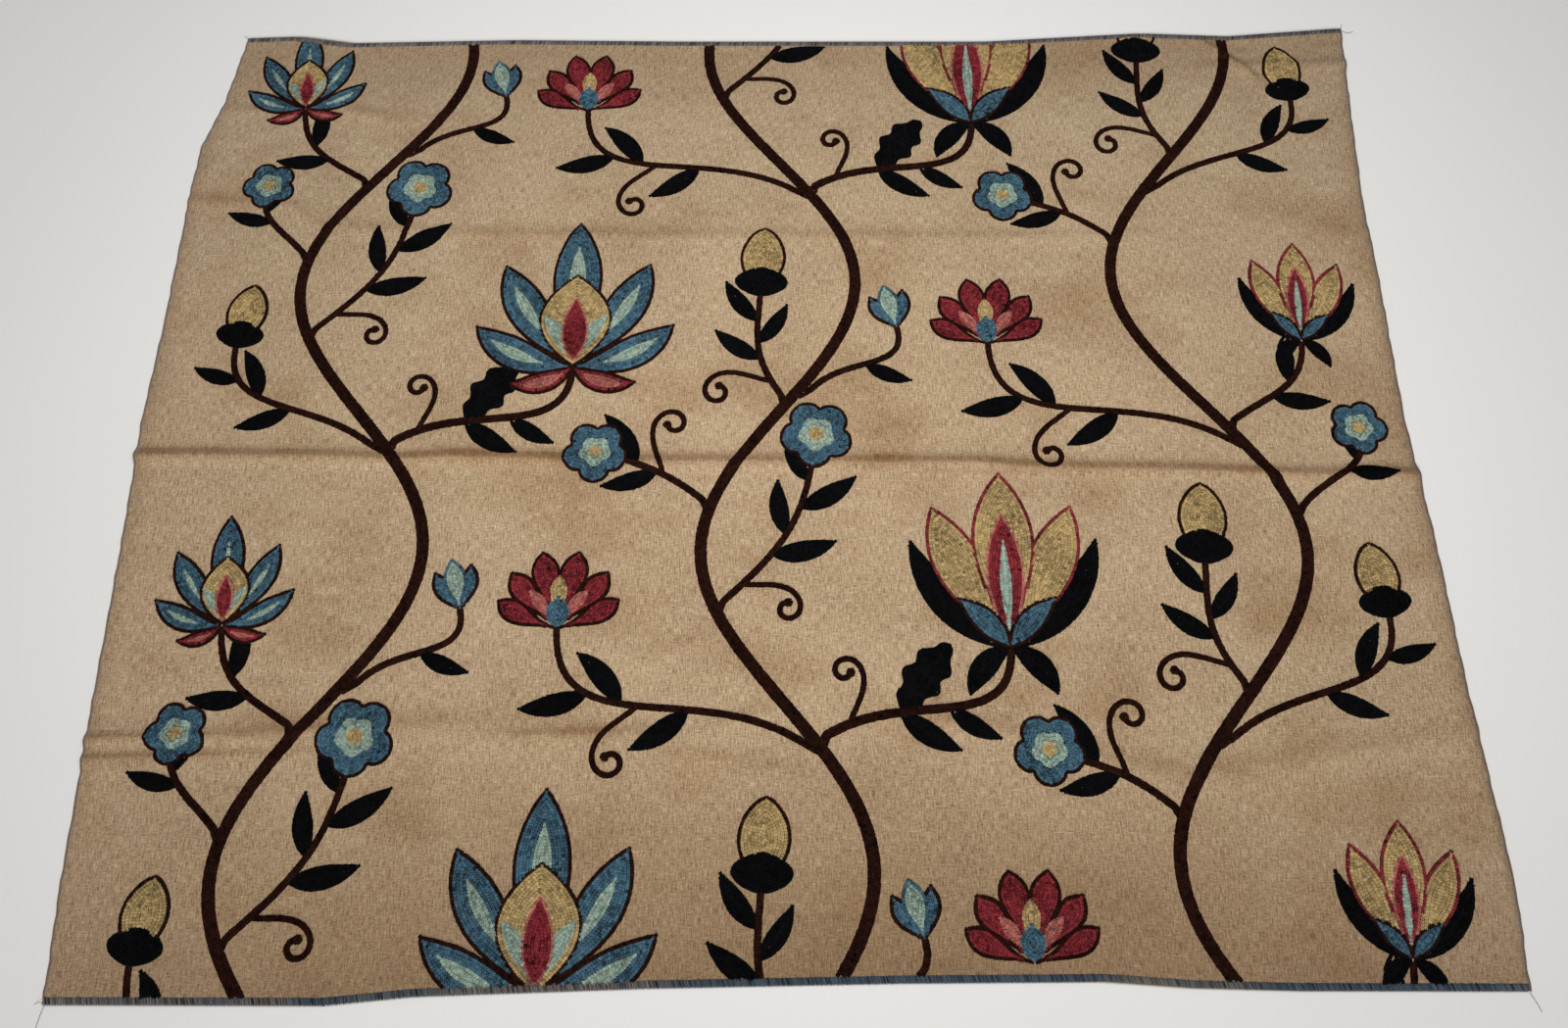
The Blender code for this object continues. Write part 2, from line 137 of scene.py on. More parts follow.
@dataclass(frozen=True)
class Relief:
    """The outline of the cloth and the height of its underside."""

    left_x: float = -0.6681
    right_x: float = 0.6859
    near_y: float = -0.5485
    far_y: float = 0.5485
    skew: float = 0.018
    edge_lift: float = 0.0010
    edge_level: float = 0.0080
    edge_ease: float = 0.0180
    swell: float = 0.0007
    ragged: float = 0.0004
    left_wander: tuple = ((0.00, -0.003), (0.09, -0.010), (0.25, -0.017), (0.40, -0.022), (0.53, -0.029),
                          (0.65, -0.028), (0.80, -0.0306), (0.86, -0.029), (0.91, -0.013), (1.00, 0.000))
    right_wander: tuple = ((0.00, 0.004), (0.067, 0.0086), (0.11, 0.008), (0.25, 0.000), (0.40, -0.004),
                           (0.52, -0.012), (0.70, -0.011), (0.77, -0.013), (0.85, -0.009), (1.00, 0.000))
    near_wander: tuple = ((0.00, -0.0026), (0.18, -0.005), (0.24, 0.002), (0.40, 0.0075), (0.57, 0.010),
                          (0.71, 0.010), (0.77, 0.004), (0.84, 0.001), (1.00, -0.001))
    far_wander: tuple = ((0.00, 0.003), (0.05, 0.005), (0.10, -0.006), (0.25, -0.004), (0.40, -0.009),
                         (0.68, -0.014), (0.82, -0.004), (0.90, -0.010), (1.00, 0.000))
    near_fold: Ridge = Ridge(((-0.690, -0.307), (-0.477, -0.305), (-0.313, -0.300), (0.076, -0.282),
                              (0.211, -0.309), (0.389, -0.358), (0.690, -0.312)),
                             ((-0.70, 0.0008), (-0.58, 0.0010), (-0.50, 0.0028), (-0.35, 0.0028), (-0.18, 0.0),
                              (0.06, 0.0), (0.20, 0.0025), (0.45, 0.0025), (0.70, 0.0010)), 0.022)
    middle_fold: Ridge = Ridge(((-0.695, -0.0070), (-0.476, -0.0115), (-0.413, -0.0150), (-0.349, -0.0120),
                                (-0.160, -0.0205), (0.110, -0.0238), (0.218, -0.0255), (0.280, -0.0320),
                                (0.437, -0.0365), (0.562, -0.0435), (0.650, -0.0428), (0.690, -0.0450)),
                               ((-0.70, 0.0045), (0.00, 0.0040), (0.70, 0.0045)), 0.014)
    far_fold: Ridge = Ridge(((-0.699, 0.316), (-0.571, 0.307), (-0.532, 0.278), (-0.360, 0.265),
                             (0.239, 0.254), (0.690, 0.260)),
                            ((-0.70, 0.0018), (0.30, 0.0016), (0.47, 0.0), (0.70, 0.0)), 0.015)
    corner_fold: Ridge = Ridge(((-0.694, 0.445), (-0.413, 0.430), (0.000, 0.450), (0.530, 0.492),
                                (0.690, 0.496)),
                               ((-0.70, 0.0015), (-0.45, 0.0012), (-0.35, 0.0), (0.45, 0.0),
                                (0.60, 0.0024), (0.70, 0.0028)), 0.014)
    creases: tuple[Crease, ...] = (
        Crease((-0.900, -0.3330), (-0.430, -0.3265), 0.0026, 0.0100),
        Crease((-0.900, -0.3125), (-0.430, -0.3075), 0.0025, 0.0100),
        Crease((-0.330, -0.312), (-0.089, -0.309), 0.0024, 0.014),
        Crease((-0.089, -0.309), (-0.010, -0.284), 0.0021, 0.013),
        Crease((-0.150, -0.235), (-0.060, -0.208), 0.0018, 0.015),
        Crease((-0.150, -0.325), (0.040, -0.354), 0.0019, 0.016),
        Crease((0.492, 0.565), (0.614, 0.442), 0.0034, 0.0080),
        Crease((-0.560, 0.455), (-0.430, 0.415), 0.0016, 0.013),
        Crease((0.130, -0.0350), (0.350, -0.0425), 0.0013, 0.007),
    )

    @property
    def ridges(self) -> tuple[Ridge, ...]:
        """The fold ridges from near to far."""
        return self.near_fold, self.middle_fold, self.far_fold, self.corner_fold

    def share_across(self, x: np.ndarray) -> np.ndarray:
        """Share of the straight width at which an x lies."""
        return (x - self.left_x) / (self.right_x - self.left_x)

    def near_edge(self, x: np.ndarray) -> np.ndarray:
        """Y of the near cut edge."""
        return self.near_y + along(self.near_wander, self.share_across(x))

    def far_edge(self, x: np.ndarray) -> np.ndarray:
        """Y of the far cut edge."""
        return self.far_y + along(self.far_wander, self.share_across(x))

    def across(self, share: np.ndarray, y: np.ndarray) -> np.ndarray:
        """X of a point at a share of the width, between the wandering woven edges."""
        up = (y - self.near_y) / (self.far_y - self.near_y)
        left = self.left_x + self.skew * y + along(self.left_wander, up)
        right = self.right_x + self.skew * y + along(self.right_wander, up)
        left = left + self.ragged * (np.sin(y * 143) + 0.8 * np.sin(y * 331 + 1.0))
        right = right + self.ragged * (np.sin(y * 127 + 2.0) + 0.8 * np.sin(y * 297))
        return left + share * (right - left)

    def height(self, x: np.ndarray, y: np.ndarray) -> np.ndarray:
        """Height of the cloth's underside."""
        to_edge = np.minimum(y - self.near_edge(x), self.far_edge(x) - y)
        lift = self.edge_lift * (1 - ease((to_edge - self.edge_level) / (self.edge_ease - self.edge_level)))
        folds = np.max([lift] + [ridge.height(x, y) for ridge in self.ridges], axis=0)
        small = np.sum([crease.lift(x, y) for crease in self.creases], axis=0)
        wave = np.sin(x * 31 + 2.1 * np.sin(y * 17)) * np.sin(y * 23 + 1.7 * np.sin(x * 13 + 1.0))
        calm = ease(to_edge / 0.03)
        flat_edge = ease((to_edge - self.edge_level) / (self.edge_ease - self.edge_level))
        return folds + small * flat_edge + calm * self.swell * (0.5 + 0.5 * wave)

    def creased(self, x: np.ndarray, y: np.ndarray) -> np.ndarray:
        """How strongly a place gets painted fold shade and staining from a fold or crease, from 0 to 1."""
        # Each mark is shifted 0.3 of a reach towards the far side, where the folds fall in shade under the low near
        # light.
        marks = [ridge.height(x, y - 0.3 * ridge.reach) / 0.0034 for ridge in self.ridges]
        marks += [crease.lift(x, y - 0.3 * crease.reach) / 0.0026 for crease in self.creases]
        return np.clip(np.max(marks, axis=0), 0.0, 1.0)


class Nodes:
    """Short ways to place and link shader nodes in one node tree."""

    def __init__(self, tree: bpy.types.NodeTree, keep: bool = False) -> None:
        """Take a tree, and empty it unless its nodes are kept."""
        self.tree = tree
        if not keep:
            tree.nodes.clear()

    def find(self, kind: str) -> bpy.types.Node:
        """The first node of a type."""
        return next(node for node in self.tree.nodes if node.type == kind)

    def add(self, kind: str, **settings: object) -> bpy.types.Node:
        """Add a node.

        Args:
            kind: The node's type without its ShaderNode prefix.
            settings: Attributes of the node, or values of its named or numbered inputs.

        Returns:
            The new node.
        """
        prefix = "" if kind.startswith("NodeGroup") else "ShaderNode"
        node = self.tree.nodes.new(prefix + kind)
        for name, value in settings.items():
            setattr(node, name, value)
        return node

    def put(self, node: bpy.types.Node, **values: object) -> bpy.types.Node:
        """Set or link a node's inputs by name; an underscore stands for a space, and iN for number N."""
        for name, value in values.items():
            numbered = name[0] == "i" and name[1:].isdigit()
            socket = node.inputs[int(name[1:])] if numbered else node.inputs[name.replace("_", " ")]
            if isinstance(value, bpy.types.NodeSocket):
                self.tree.links.new(value, socket)
            else:
                socket.default_value = value
        return node

    def math(self, operation: str, first: object, second: object = 0.0) -> bpy.types.NodeSocket:
        """A Math node's output."""
        return self.put(self.add("Math", operation=operation), i0=first, i1=second).outputs[0]

    def streaks(self, vector: bpy.types.NodeSocket, scale: tuple[float, float, float],
                detail: float) -> bpy.types.NodeSocket:
        """Noise stretched by a scale for each axis."""
        mapped = self.put(self.add("Mapping", vector_type="POINT"), Vector=vector, Scale=scale)
        noise = self.add("TexNoise")
        self.put(noise, Vector=mapped.outputs[0], Scale=1.0, Detail=detail, Roughness=0.55)
        return noise.outputs["Fac"]

    def span(self, value: bpy.types.NodeSocket, low: float, high: float, first: float,
             last: float) -> bpy.types.NodeSocket:
        """Map a value from one range to another, held at its ends."""
        node = self.put(self.add("MapRange"), Value=value)
        for number, limit in enumerate((low, high, first, last), start=1):
            node.inputs[number].default_value = limit
        return node.outputs[0]

    def blend(self, share: bpy.types.NodeSocket, first: object, second: object,
              kind: str = "MIX") -> bpy.types.NodeSocket:
        """Mix two colours."""
        node = self.add("Mix", data_type="RGBA", blend_type=kind)
        self.put(node, i0=share, i6=first, i7=second)
        return node.outputs[2]


@dataclass(frozen=True)
class PlainWeave:
    """A plain weave of uneven threads: a shared group that reads a length in metres along each thread."""

    name: str = "plain_weave"
    thread: float = 0.00095

    def build(self) -> bpy.types.NodeTree:
        """Make the group.

        Returns:
            A group with inputs Vector, Slub and outputs Tone, Height.
        """
        group = bpy.data.node_groups.new(self.name, "ShaderNodeTree")
        group.interface.new_socket("Vector", in_out="INPUT", socket_type="NodeSocketVector")
        group.interface.new_socket("Slub", in_out="INPUT", socket_type="NodeSocketFloat")
        group.interface.new_socket("Tone", in_out="OUTPUT", socket_type="NodeSocketFloat")
        group.interface.new_socket("Height", in_out="OUTPUT", socket_type="NodeSocketFloat")
        n = Nodes(group)
        given = group.nodes.new("NodeGroupInput")
        result = group.nodes.new("NodeGroupOutput")
        vector, slub = given.outputs[0], given.outputs[1]
        warp = n.streaks(vector, (900.0, 95.0, 1.0), 1.0)
        weft = n.streaks(vector, (130.0, 900.0, 1.0), 1.0)
        warp_slub = n.span(n.streaks(vector, (560.0, 38.0, 3.0), 1.0), 0.64, 0.80, 0.0, 1.0)
        weft_slub = n.span(n.streaks(vector, (30.0, 520.0, 7.0), 1.0), 0.64, 0.80, 0.0, 1.0)
        cloud = n.streaks(vector, (9.0, 9.0, 5.0), 3.0)
        nap = n.streaks(vector, (620.0, 430.0, 1.0), 1.0)
        threads = n.math("ADD", n.math("MULTIPLY", warp, 0.44), n.math("MULTIPLY", weft, 0.28))
        fine = n.math("ADD", threads, n.math("MULTIPLY", nap, 0.28))
        thick = n.math("MULTIPLY", n.math("SUBTRACT", weft_slub, warp_slub), slub)
        tone = n.math("ADD", n.span(fine, 0.33, 0.67, 0.0, 1.0), n.math("MULTIPLY", thick, 0.30))
        tone = n.math("ADD", tone, n.math("MULTIPLY", n.math("SUBTRACT", cloud, 0.5), 0.35))
        split = n.put(n.add("SeparateXYZ"), Vector=vector)
        turn = 2 * math.pi / self.thread
        across = n.math("SINE", n.math("MULTIPLY", split.outputs[0], turn / 2))
        up = n.math("SINE", n.math("MULTIPLY", split.outputs[1], turn / 2))
        checks = n.math("MULTIPLY", across, up)
        rise = n.math("ADD", n.math("MULTIPLY", n.math("ABSOLUTE", checks), 0.6), n.math("MULTIPLY", fine, 0.9))
        height = n.math("ADD", rise, n.math("MULTIPLY", n.math("ADD", weft_slub, warp_slub), 0.6))
        n.tree.links.new(tone, result.inputs[0])
        n.tree.links.new(height, result.inputs[1])
        return group


@dataclass(frozen=True)
class Fibre:
    """The fine uneven fibre of spun yarn, a shared group on object coordinates."""

    name: str = "spun_fibre"

    def build(self) -> bpy.types.NodeTree:
        """Make the group.

        Returns:
            A group with inputs Vector, Fineness and outputs Tone, Height.
        """
        group = bpy.data.node_groups.new(self.name, "ShaderNodeTree")
        group.interface.new_socket("Vector", in_out="INPUT", socket_type="NodeSocketVector")
        group.interface.new_socket("Fineness", in_out="INPUT", socket_type="NodeSocketFloat")
        group.interface.new_socket("Tone", in_out="OUTPUT", socket_type="NodeSocketFloat")
        group.interface.new_socket("Height", in_out="OUTPUT", socket_type="NodeSocketFloat")
        n = Nodes(group)
        given = group.nodes.new("NodeGroupInput")
        result = group.nodes.new("NodeGroupOutput")
        coarse = n.put(n.add("TexNoise"), Vector=given.outputs[0], Scale=26.0, Detail=3.0)
        fine = n.put(n.add("TexNoise"), Vector=given.outputs[0], Scale=given.outputs[1], Detail=3.0)
        hair = n.put(n.add("TexNoise"), Vector=given.outputs[0], Scale=4200.0, Detail=2.0)
        tone = n.math("ADD", n.math("MULTIPLY", coarse.outputs["Fac"], 0.5),
                      n.math("MULTIPLY", fine.outputs["Fac"], 0.5))
        height = n.math("ADD", fine.outputs["Fac"], n.math("MULTIPLY", hair.outputs["Fac"], 0.5))
        n.tree.links.new(tone, result.inputs[0])
        n.tree.links.new(height, result.inputs[1])
        return group


class Finishes:
    """Every material of the panel, with the groups that they share."""

    def __init__(self) -> None:
        """Build the shared groups."""
        self.weave = PlainWeave().build()
        self.fibre = Fibre().build()
        self.made: dict[str, bpy.types.Material] = {}

    def start(self, name: str) -> tuple[bpy.types.Material, Nodes, bpy.types.Node]:
        """Start a material.

        Args:
            name: The material's name.

        Returns:
            The material, its nodes and its Principled shader, already linked to the output.
        """
        material = bpy.data.materials.new(name)
        material.use_nodes = True
        n = Nodes(material.node_tree)
        shader = n.add("BsdfPrincipled")
        output = n.add("OutputMaterial")
        n.tree.links.new(shader.outputs[0], output.inputs[0])
        return material, n, shader

    def linen(self) -> bpy.types.Material:
        """Unbleached linen: uneven tan threads, thick slubs, and a darker woven edge."""
        material, n, shader = self.start("linen")
        place = n.put(n.add("UVMap", uv_map="Weave")).outputs[0]
        weave = n.put(n.add("Group", node_tree=self.weave), Vector=place, Slub=1.0)
        tone = weave.outputs["Tone"]
        dark, middle, light = linear((122, 97, 70)), linear((171, 146, 115)), linear((211, 190, 159))
        low = n.blend(n.span(tone, 0.0, 0.5, 0.0, 1.0), dark, middle)
        colour = n.blend(n.span(tone, 0.5, 1.1, 0.0, 1.0), low, light)
        # Painted shade and brown staining along the folds and creases: the crease attribute darkens the far, shaded
        # side of each fold, partly as real discoloration.
        crease = n.add("Attribute", attribute_name="crease").outputs["Fac"]
        patches = n.streaks(place, (7.0, 9.0, 1.0), 4.0)
        patchy = n.span(patches, 0.50, 0.72, 0.0, 0.55)
        stain_and_fold_shade = n.math("ADD", patchy, n.math("MULTIPLY", crease, 0.45))
        colour = n.blend(stain_and_fold_shade, colour, linear((204, 180, 150)), "MULTIPLY")
        # A deeper darkening where the crease mark is strongest: painted fold shade together with pressed-in
        # discoloration.
        varied = n.math("ADD", crease, n.math("MULTIPLY", n.math("SUBTRACT", patches, 0.55), 0.9))
        press_mark_and_fold_shade = n.span(varied, 0.70, 1.0, 0.0, 0.50)
        colour = n.blend(press_mark_and_fold_shade, colour, linear((196, 172, 142)), "MULTIPLY")
        split = n.put(n.add("SeparateXYZ"), Vector=place)
        from_edge = n.math("SUBTRACT", 0.685, n.math("ABSOLUTE", n.math("SUBTRACT", split.outputs[0], 0.685)))
        uneven = n.math("MULTIPLY", n.math("SUBTRACT", patches, 0.5), 0.35)
        from_far = n.math("MULTIPLY", n.math("SUBTRACT", 1.10, split.outputs[1]), 2.3)
        ends = n.math("MINIMUM", n.math("MULTIPLY", split.outputs[1], 1.15), from_far)
        border = n.math("ADD", n.math("MINIMUM", n.math("MULTIPLY", from_edge, 12.0), ends), uneven)
        # Painted shade: the cloth darkens towards its borders and ends, as the light falls off away from the
        # middle.
        near = n.span(border, 0.00, 0.27, 0.55, 0.0)
        colour = n.blend(near, colour, linear((212, 199, 186)), "MULTIPLY")
        # Painted shade: the middle columns darken further towards the near end.
        middle_share = n.span(from_edge, 0.05, 0.40, 0.25, 1.0)
        near_end_shade = n.math("MULTIPLY", n.span(split.outputs[1], 0.00, 0.22, 0.85, 0.0), middle_share)
        colour = n.blend(near_end_shade, colour, linear((220, 213, 205)), "MULTIPLY")
        cool = n.span(split.outputs[1], 0.60, 1.05, 0.0, 1.0)
        colour = n.blend(cool, colour, linear((250, 253, 255)), "MULTIPLY")
        edge = n.span(from_edge, 0.0012, 0.0030, 0.75, 0.0)
        colour = n.blend(edge, colour, linear((96, 66, 46)))
        bump = n.put(n.add("Bump"), Height=weave.outputs["Height"], Strength=0.55, Distance=0.00045)
        n.put(shader, Base_Color=colour, Normal=bump.outputs[0], Roughness=0.92, Sheen_Weight=0.15)
        shader.inputs["Specular IOR Level"].default_value = 0.25
        return material

    def yarn(self, name: str, colour: tuple[int, int, int], spread: float,
             fineness: float) -> bpy.types.Material:
        """Spun yarn, with a tone of its own for each stitch.

        Args:
            name: The material's name.
            colour: sRGB colour.
            spread: How far the tone strays from the colour.
            fineness: Scale of the fibre noise.

        Returns:
            The material, made once.
        """
        if name in self.made:
            return self.made[name]
        material, n, shader = self.start(name)
        place = n.add("TexCoord").outputs["Object"]
        fibre = n.put(n.add("Group", node_tree=self.fibre), Vector=place, Fineness=fineness)
        # The tone attribute carries each stitch's random tone and the painted shade of its hollows; low tones mix
        # towards the deep colour.
        own = n.add("Attribute", attribute_name="tone").outputs["Fac"]
        tone = n.math("ADD", own, n.math("SUBTRACT", fibre.outputs["Tone"], 0.5))
        deep = tuple(channel * (1 - 2.2 * spread) for channel in linear(colour)[:3]) + (1.0,)
        pale = tuple(min(channel * (1 + spread), 1.0) for channel in linear(colour)[:3]) + (1.0,)
        shade = n.blend(n.span(tone, -0.5, 1.1, 0.0, 1.0), deep, pale)
        bump = n.put(n.add("Bump"), Height=fibre.outputs["Height"], Strength=0.5, Distance=0.0002)
        n.put(shader, Base_Color=shade, Normal=bump.outputs[0], Roughness=0.88, Sheen_Weight=0.0)
        shader.inputs["Specular IOR Level"].default_value = 0.05
        self.made[name] = material
        return material

    def wool(self, yarn: Yarn) -> bpy.types.Material:
        """One of the crewel wools."""
        spread = {Yarn.GOLD: 0.34, Yarn.AQUA: 0.32, Yarn.ROSE: 0.34}.get(yarn, 0.42)
        return self.yarn("wool_" + yarn.name.lower(), yarn.value, spread, 900.0)

    def overlock(self) -> bpy.types.Material:
        """The grey-blue thread of the overlocked edges."""
        if "overlock_thread" in self.made:
            return self.made["overlock_thread"]
        material = self.yarn("overlock_thread", (122, 118, 116), 0.42, 1500.0)
        n = Nodes(material.node_tree, keep=True)
        shader = n.find("BSDF_PRINCIPLED")
        grey = shader.inputs["Base Color"].links[0].from_socket
        place = n.find("TEX_COORD").outputs["Object"]
        split = n.put(n.add("SeparateXYZ"), Vector=place)
        slope = n.math("SUBTRACT", n.math("MULTIPLY", split.outputs[0], 0.09),
                       n.math("MULTIPLY", split.outputs[1], 0.16))
        drift = n.math("ADD", n.streaks(place, (5.5, 1.0, 1.0), 2.0), slope)
        stretch = n.span(drift, 0.525, 0.625, 0.0, 0.9)
        n.put(shader, Base_Color=n.blend(stretch, grey, linear((168, 203, 234)), "MULTIPLY"))
        return material

    def floor(self) -> bpy.types.Material:
        """A plain pale ground."""
        material, n, shader = self.start("pale_ground")
        place = n.add("TexCoord").outputs["Object"]
        mist = n.put(n.add("TexNoise"), Vector=place, Scale=1.5, Detail=2.0).outputs["Fac"]
        colour = n.blend(mist, linear((226, 225, 223)), linear((232, 231, 229)))
        n.put(shader, Base_Color=colour, Roughness=0.95)
        return material


def show(name: str, verts: np.ndarray, faces: np.ndarray, materials: list[bpy.types.Material],
         kinds: np.ndarray | None = None, tones: np.ndarray | None = None) -> bpy.types.Object:
    """Make an object of many joined small forms from arrays.

    Args:
        name: The piece's name.
        verts: Points, one row each.
        faces: Triangles, one row of point numbers each.
        materials: The piece's materials.
        kinds: Each face's material number.
        tones: Each point's tone.

    Returns:
        The new object, smooth shaded, with a bake map seen from above.
    """
    mesh = bpy.data.meshes.new(name)
    mesh.vertices.add(len(verts))
    mesh.vertices.foreach_set("co", verts.astype(np.float32).ravel())
    mesh.loops.add(faces.size)
    mesh.loops.foreach_set("vertex_index", faces.astype(np.int32).ravel())
    mesh.polygons.add(len(faces))
    mesh.polygons.foreach_set("loop_start", np.arange(0, faces.size, 3, dtype=np.int32))
    mesh.polygons.foreach_set("use_smooth", np.ones(len(faces), dtype=bool))
    if kinds is not None:
        mesh.polygons.foreach_set("material_index", kinds.astype(np.int32))
    for material in materials:
        mesh.materials.append(material)
    mesh.update(calc_edges=True)
    if tones is not None:
        mesh.attributes.new("tone", "FLOAT", "POINT").data.foreach_set("value", tones.astype(np.float32))
    low, high = verts[:, :2].min(0), verts[:, :2].max(0)
    plan = 0.01 + 0.98 * (verts[:, :2] - low) / (high - low).max()
    bake = mesh.uv_layers.new(name="OFBake")
    bake.data.foreach_set("uv", plan[faces.ravel()].astype(np.float32).ravel())
    thing = bpy.data.objects.new(name, mesh)
    bpy.context.scene.collection.objects.link(thing)
    return thing


@dataclass
class Linen:
    """The ground cloth: one thin sheet over the relief."""

    relief: Relief
    finishes: Finishes
    thickness: float = 0.0009
    clearance: float = 0.0002
    columns: int = 152
    close_columns: tuple[float, float, int] = (0.858, 0.953, 14)
    fold_step: float = 0.0028
    edge_step: float = 0.0042
    creased_step: float = 0.0058
    level_step: float = 0.0110
    creased_bands: tuple[tuple[float, float], ...] = ((-0.375, -0.190), (0.390, 0.530))
    flat_size: tuple[float, float] = (1.37, 1.10)
    shares: np.ndarray = field(init=False)
    lines: np.ndarray = field(init=False)
    tops: np.ndarray = field(init=False)

    def __post_init__(self) -> None:
        """Lay out the grid of the cloth and its heights, with more columns by the far right crease."""
        low, high, more = self.close_columns
        denser = np.interp(np.linspace(0.0, 1.0, 1001), [0.0, low, high, 1.0],
                           [0.0, low * self.columns, high * self.columns + more, self.columns + more])
        self.columns += more
        self.shares = np.interp(np.arange(self.columns + 1), denser, np.linspace(0.0, 1.0, 1001))
        self.lines = np.array(self.rows())
        x = self.relief.across(self.shares, self.lines)
        self.tops = self.relief.height(x, self.lines) + self.clearance + self.thickness

    def rows(self) -> list[np.ndarray]:
        """The cloth's rows: each is its y for every column, following the edges and folds.

        Returns:
            The rows from near to far.
        """
        x = self.relief.left_x + self.shares * (self.relief.right_x - self.relief.left_x)
        inset = self.relief.edge_ease
        major = [self.relief.near_edge(x), self.relief.near_edge(x) + inset]
        steps = [self.edge_step]
        for ridge in self.relief.ridges:
            centre = along(ridge.line, x)
            major += [centre - ridge.reach * 1.15, centre, centre + ridge.reach * 1.15]
            steps += [None, self.fold_step, self.fold_step]
        major += [self.relief.far_edge(x) - inset, self.relief.far_edge(x)]
        steps += [None, self.edge_step]
        lines = [major[0]]
        for before, after, step in zip(major, major[1:], steps):
            middle = float(np.mean(before + after)) / 2
            creased = any(low < middle < high for low, high in self.creased_bands)
            step = step or (self.creased_step if creased else self.level_step)
            count = max(1, math.ceil(float(np.max(after - before)) / step))
            lines += [before + (after - before) * (part + 1) / count for part in range(count)]
        return lines

    def surface(self, x: np.ndarray, y: np.ndarray) -> np.ndarray:
        """Height of the cloth's upper face, read from its own grid."""
        left, right = self.relief.across(0.0, y), self.relief.across(1.0, y)
        share = np.clip((x - left) / (right - left), 0.0, 0.999999)
        place = np.interp(share, self.shares, np.arange(self.columns + 1))
        column = place.astype(int)
        share = place - column
        low, high = np.zeros(len(x), int), np.full(len(x), len(self.lines) - 1)
        while (high - low).max() > 1:
            middle = (low + high) // 2
            line = self.lines[middle, column] * (1 - share) + self.lines[middle, column + 1] * share
            low, high = np.where(line <= y, middle, low), np.where(line <= y, high, middle)
        first = self.lines[low, column] * (1 - share) + self.lines[low, column + 1] * share
        last = self.lines[high, column] * (1 - share) + self.lines[high, column + 1] * share
        up = np.clip((y - first) / (last - first), 0.0, 1.0)
        below = self.tops[low, column] * (1 - share) + self.tops[low, column + 1] * share
        above = self.tops[high, column] * (1 - share) + self.tops[high, column + 1] * share
        return below * (1 - up) + above * up

    def build(self) -> bpy.types.Object:
        """Make the cloth.

        Returns:
            The cloth.
        """
        rows = len(self.lines) - 1
        bm = bmesh.new()
        bmesh.ops.create_grid(bm, x_segments=self.columns, y_segments=rows, size=1.0)
        mesh = bpy.data.meshes.new("linen_cloth")
        bm.to_mesh(mesh)
        bm.free()
        flat = np.empty(len(mesh.vertices) * 3)
        mesh.vertices.foreach_get("co", flat)
        flat = flat.reshape(-1, 3)
        column = np.rint((flat[:, 0] + 1) / 2 * self.columns).astype(int)
        row = np.rint((flat[:, 1] + 1) / 2 * rows).astype(int)
        share, y = self.shares[column], self.lines[row, column]
        x = self.relief.across(share, y)
        mesh.vertices.foreach_set("co", np.stack([x, y, self.tops[row, column]], axis=1).ravel())
        up = (y - self.lines[0, column]) / (self.lines[-1, column] - self.lines[0, column])
        self.add_weave_map(mesh, share, up)
        # Painted fold shade and staining, stored in the crease attribute for the linen.
        fold_shade_and_stain = mesh.attributes.new("crease", "FLOAT", "POINT")
        fold_shade_and_stain.data.foreach_set("value", self.relief.creased(x, y).astype(np.float32))
        mesh.polygons.foreach_set("use_smooth", np.ones(len(mesh.polygons), dtype=bool))
        mesh.materials.append(self.finishes.linen())
        mesh.update()
        cloth = bpy.data.objects.new("linen_cloth", mesh)
        bpy.context.scene.collection.objects.link(cloth)
        wall = cloth.modifiers.new("thickness", "SOLIDIFY")
        wall.thickness = self.thickness
        wall.offset = -1.0
        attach(cloth, "root")
        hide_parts("linen_ground")
        LOG.info("linen: %d rows, %d columns", rows, self.columns)
        return cloth

    def add_weave_map(self, mesh: bpy.types.Mesh, share: np.ndarray, up: np.ndarray) -> None:
        """Give the cloth a map in metres along its threads."""
        corners = np.empty(len(mesh.loops), dtype=np.int32)
        mesh.loops.foreach_get("vertex_index", corners)
        plan = np.stack([share * self.flat_size[0], up * self.flat_size[1]], axis=1)
        weave = mesh.uv_layers.new(name="Weave")
        weave.data.foreach_set("uv", plan[corners].astype(np.float32).ravel())


def resampled(line: np.ndarray, step: float, closed: bool = False) -> np.ndarray:
    """Space points evenly along a line.

    Args:
        line: Points of the line.
        step: Wanted distance between points.
        closed: Whether the line returns to its start.

    Returns:
        The new points, without a repeat of the first on a closed line.
    """
    if closed:
        line = np.vstack([line, line[:1]])
    run = np.concatenate([[0.0], np.cumsum(np.linalg.norm(np.diff(line, axis=0), axis=1))])
    count = max(1, round(run[-1] / step))
    places = np.linspace(0.0, run[-1], count + 1)
    if closed:
        places = places[:-1]
    return np.stack([np.interp(places, run, line[:, axis]) for axis in (0, 1)], axis=1)


def placed(points: np.ndarray, heading: float, x: float = 0.0, y: float = 0.0, size: float = 1.0,
           mirrored: bool = False) -> np.ndarray:
    """Size points, mirror them, turn them clockwise to a heading in degrees and move them."""
    points = np.asarray(points) * size
    if mirrored:
        points = points[::-1] * [-1, 1]
    c, s = math.cos(math.radians(heading)), math.sin(math.radians(heading))
    return points @ np.array([[c, -s], [s, c]]) + [x, y]


def distance_to(points: np.ndarray, outline: np.ndarray) -> np.ndarray:
    """Distance of each point to a closed outline."""
    start, end = outline, np.roll(outline, -1, axis=0)
    run = end - start
    square = np.maximum((run ** 2).sum(1), 1e-18)
    away = points[:, None] - start[None]
    share = np.clip((away * run[None]).sum(2) / square[None], 0.0, 1.0)
    return np.sqrt(((away - share[..., None] * run[None]) ** 2).sum(2).min(1))


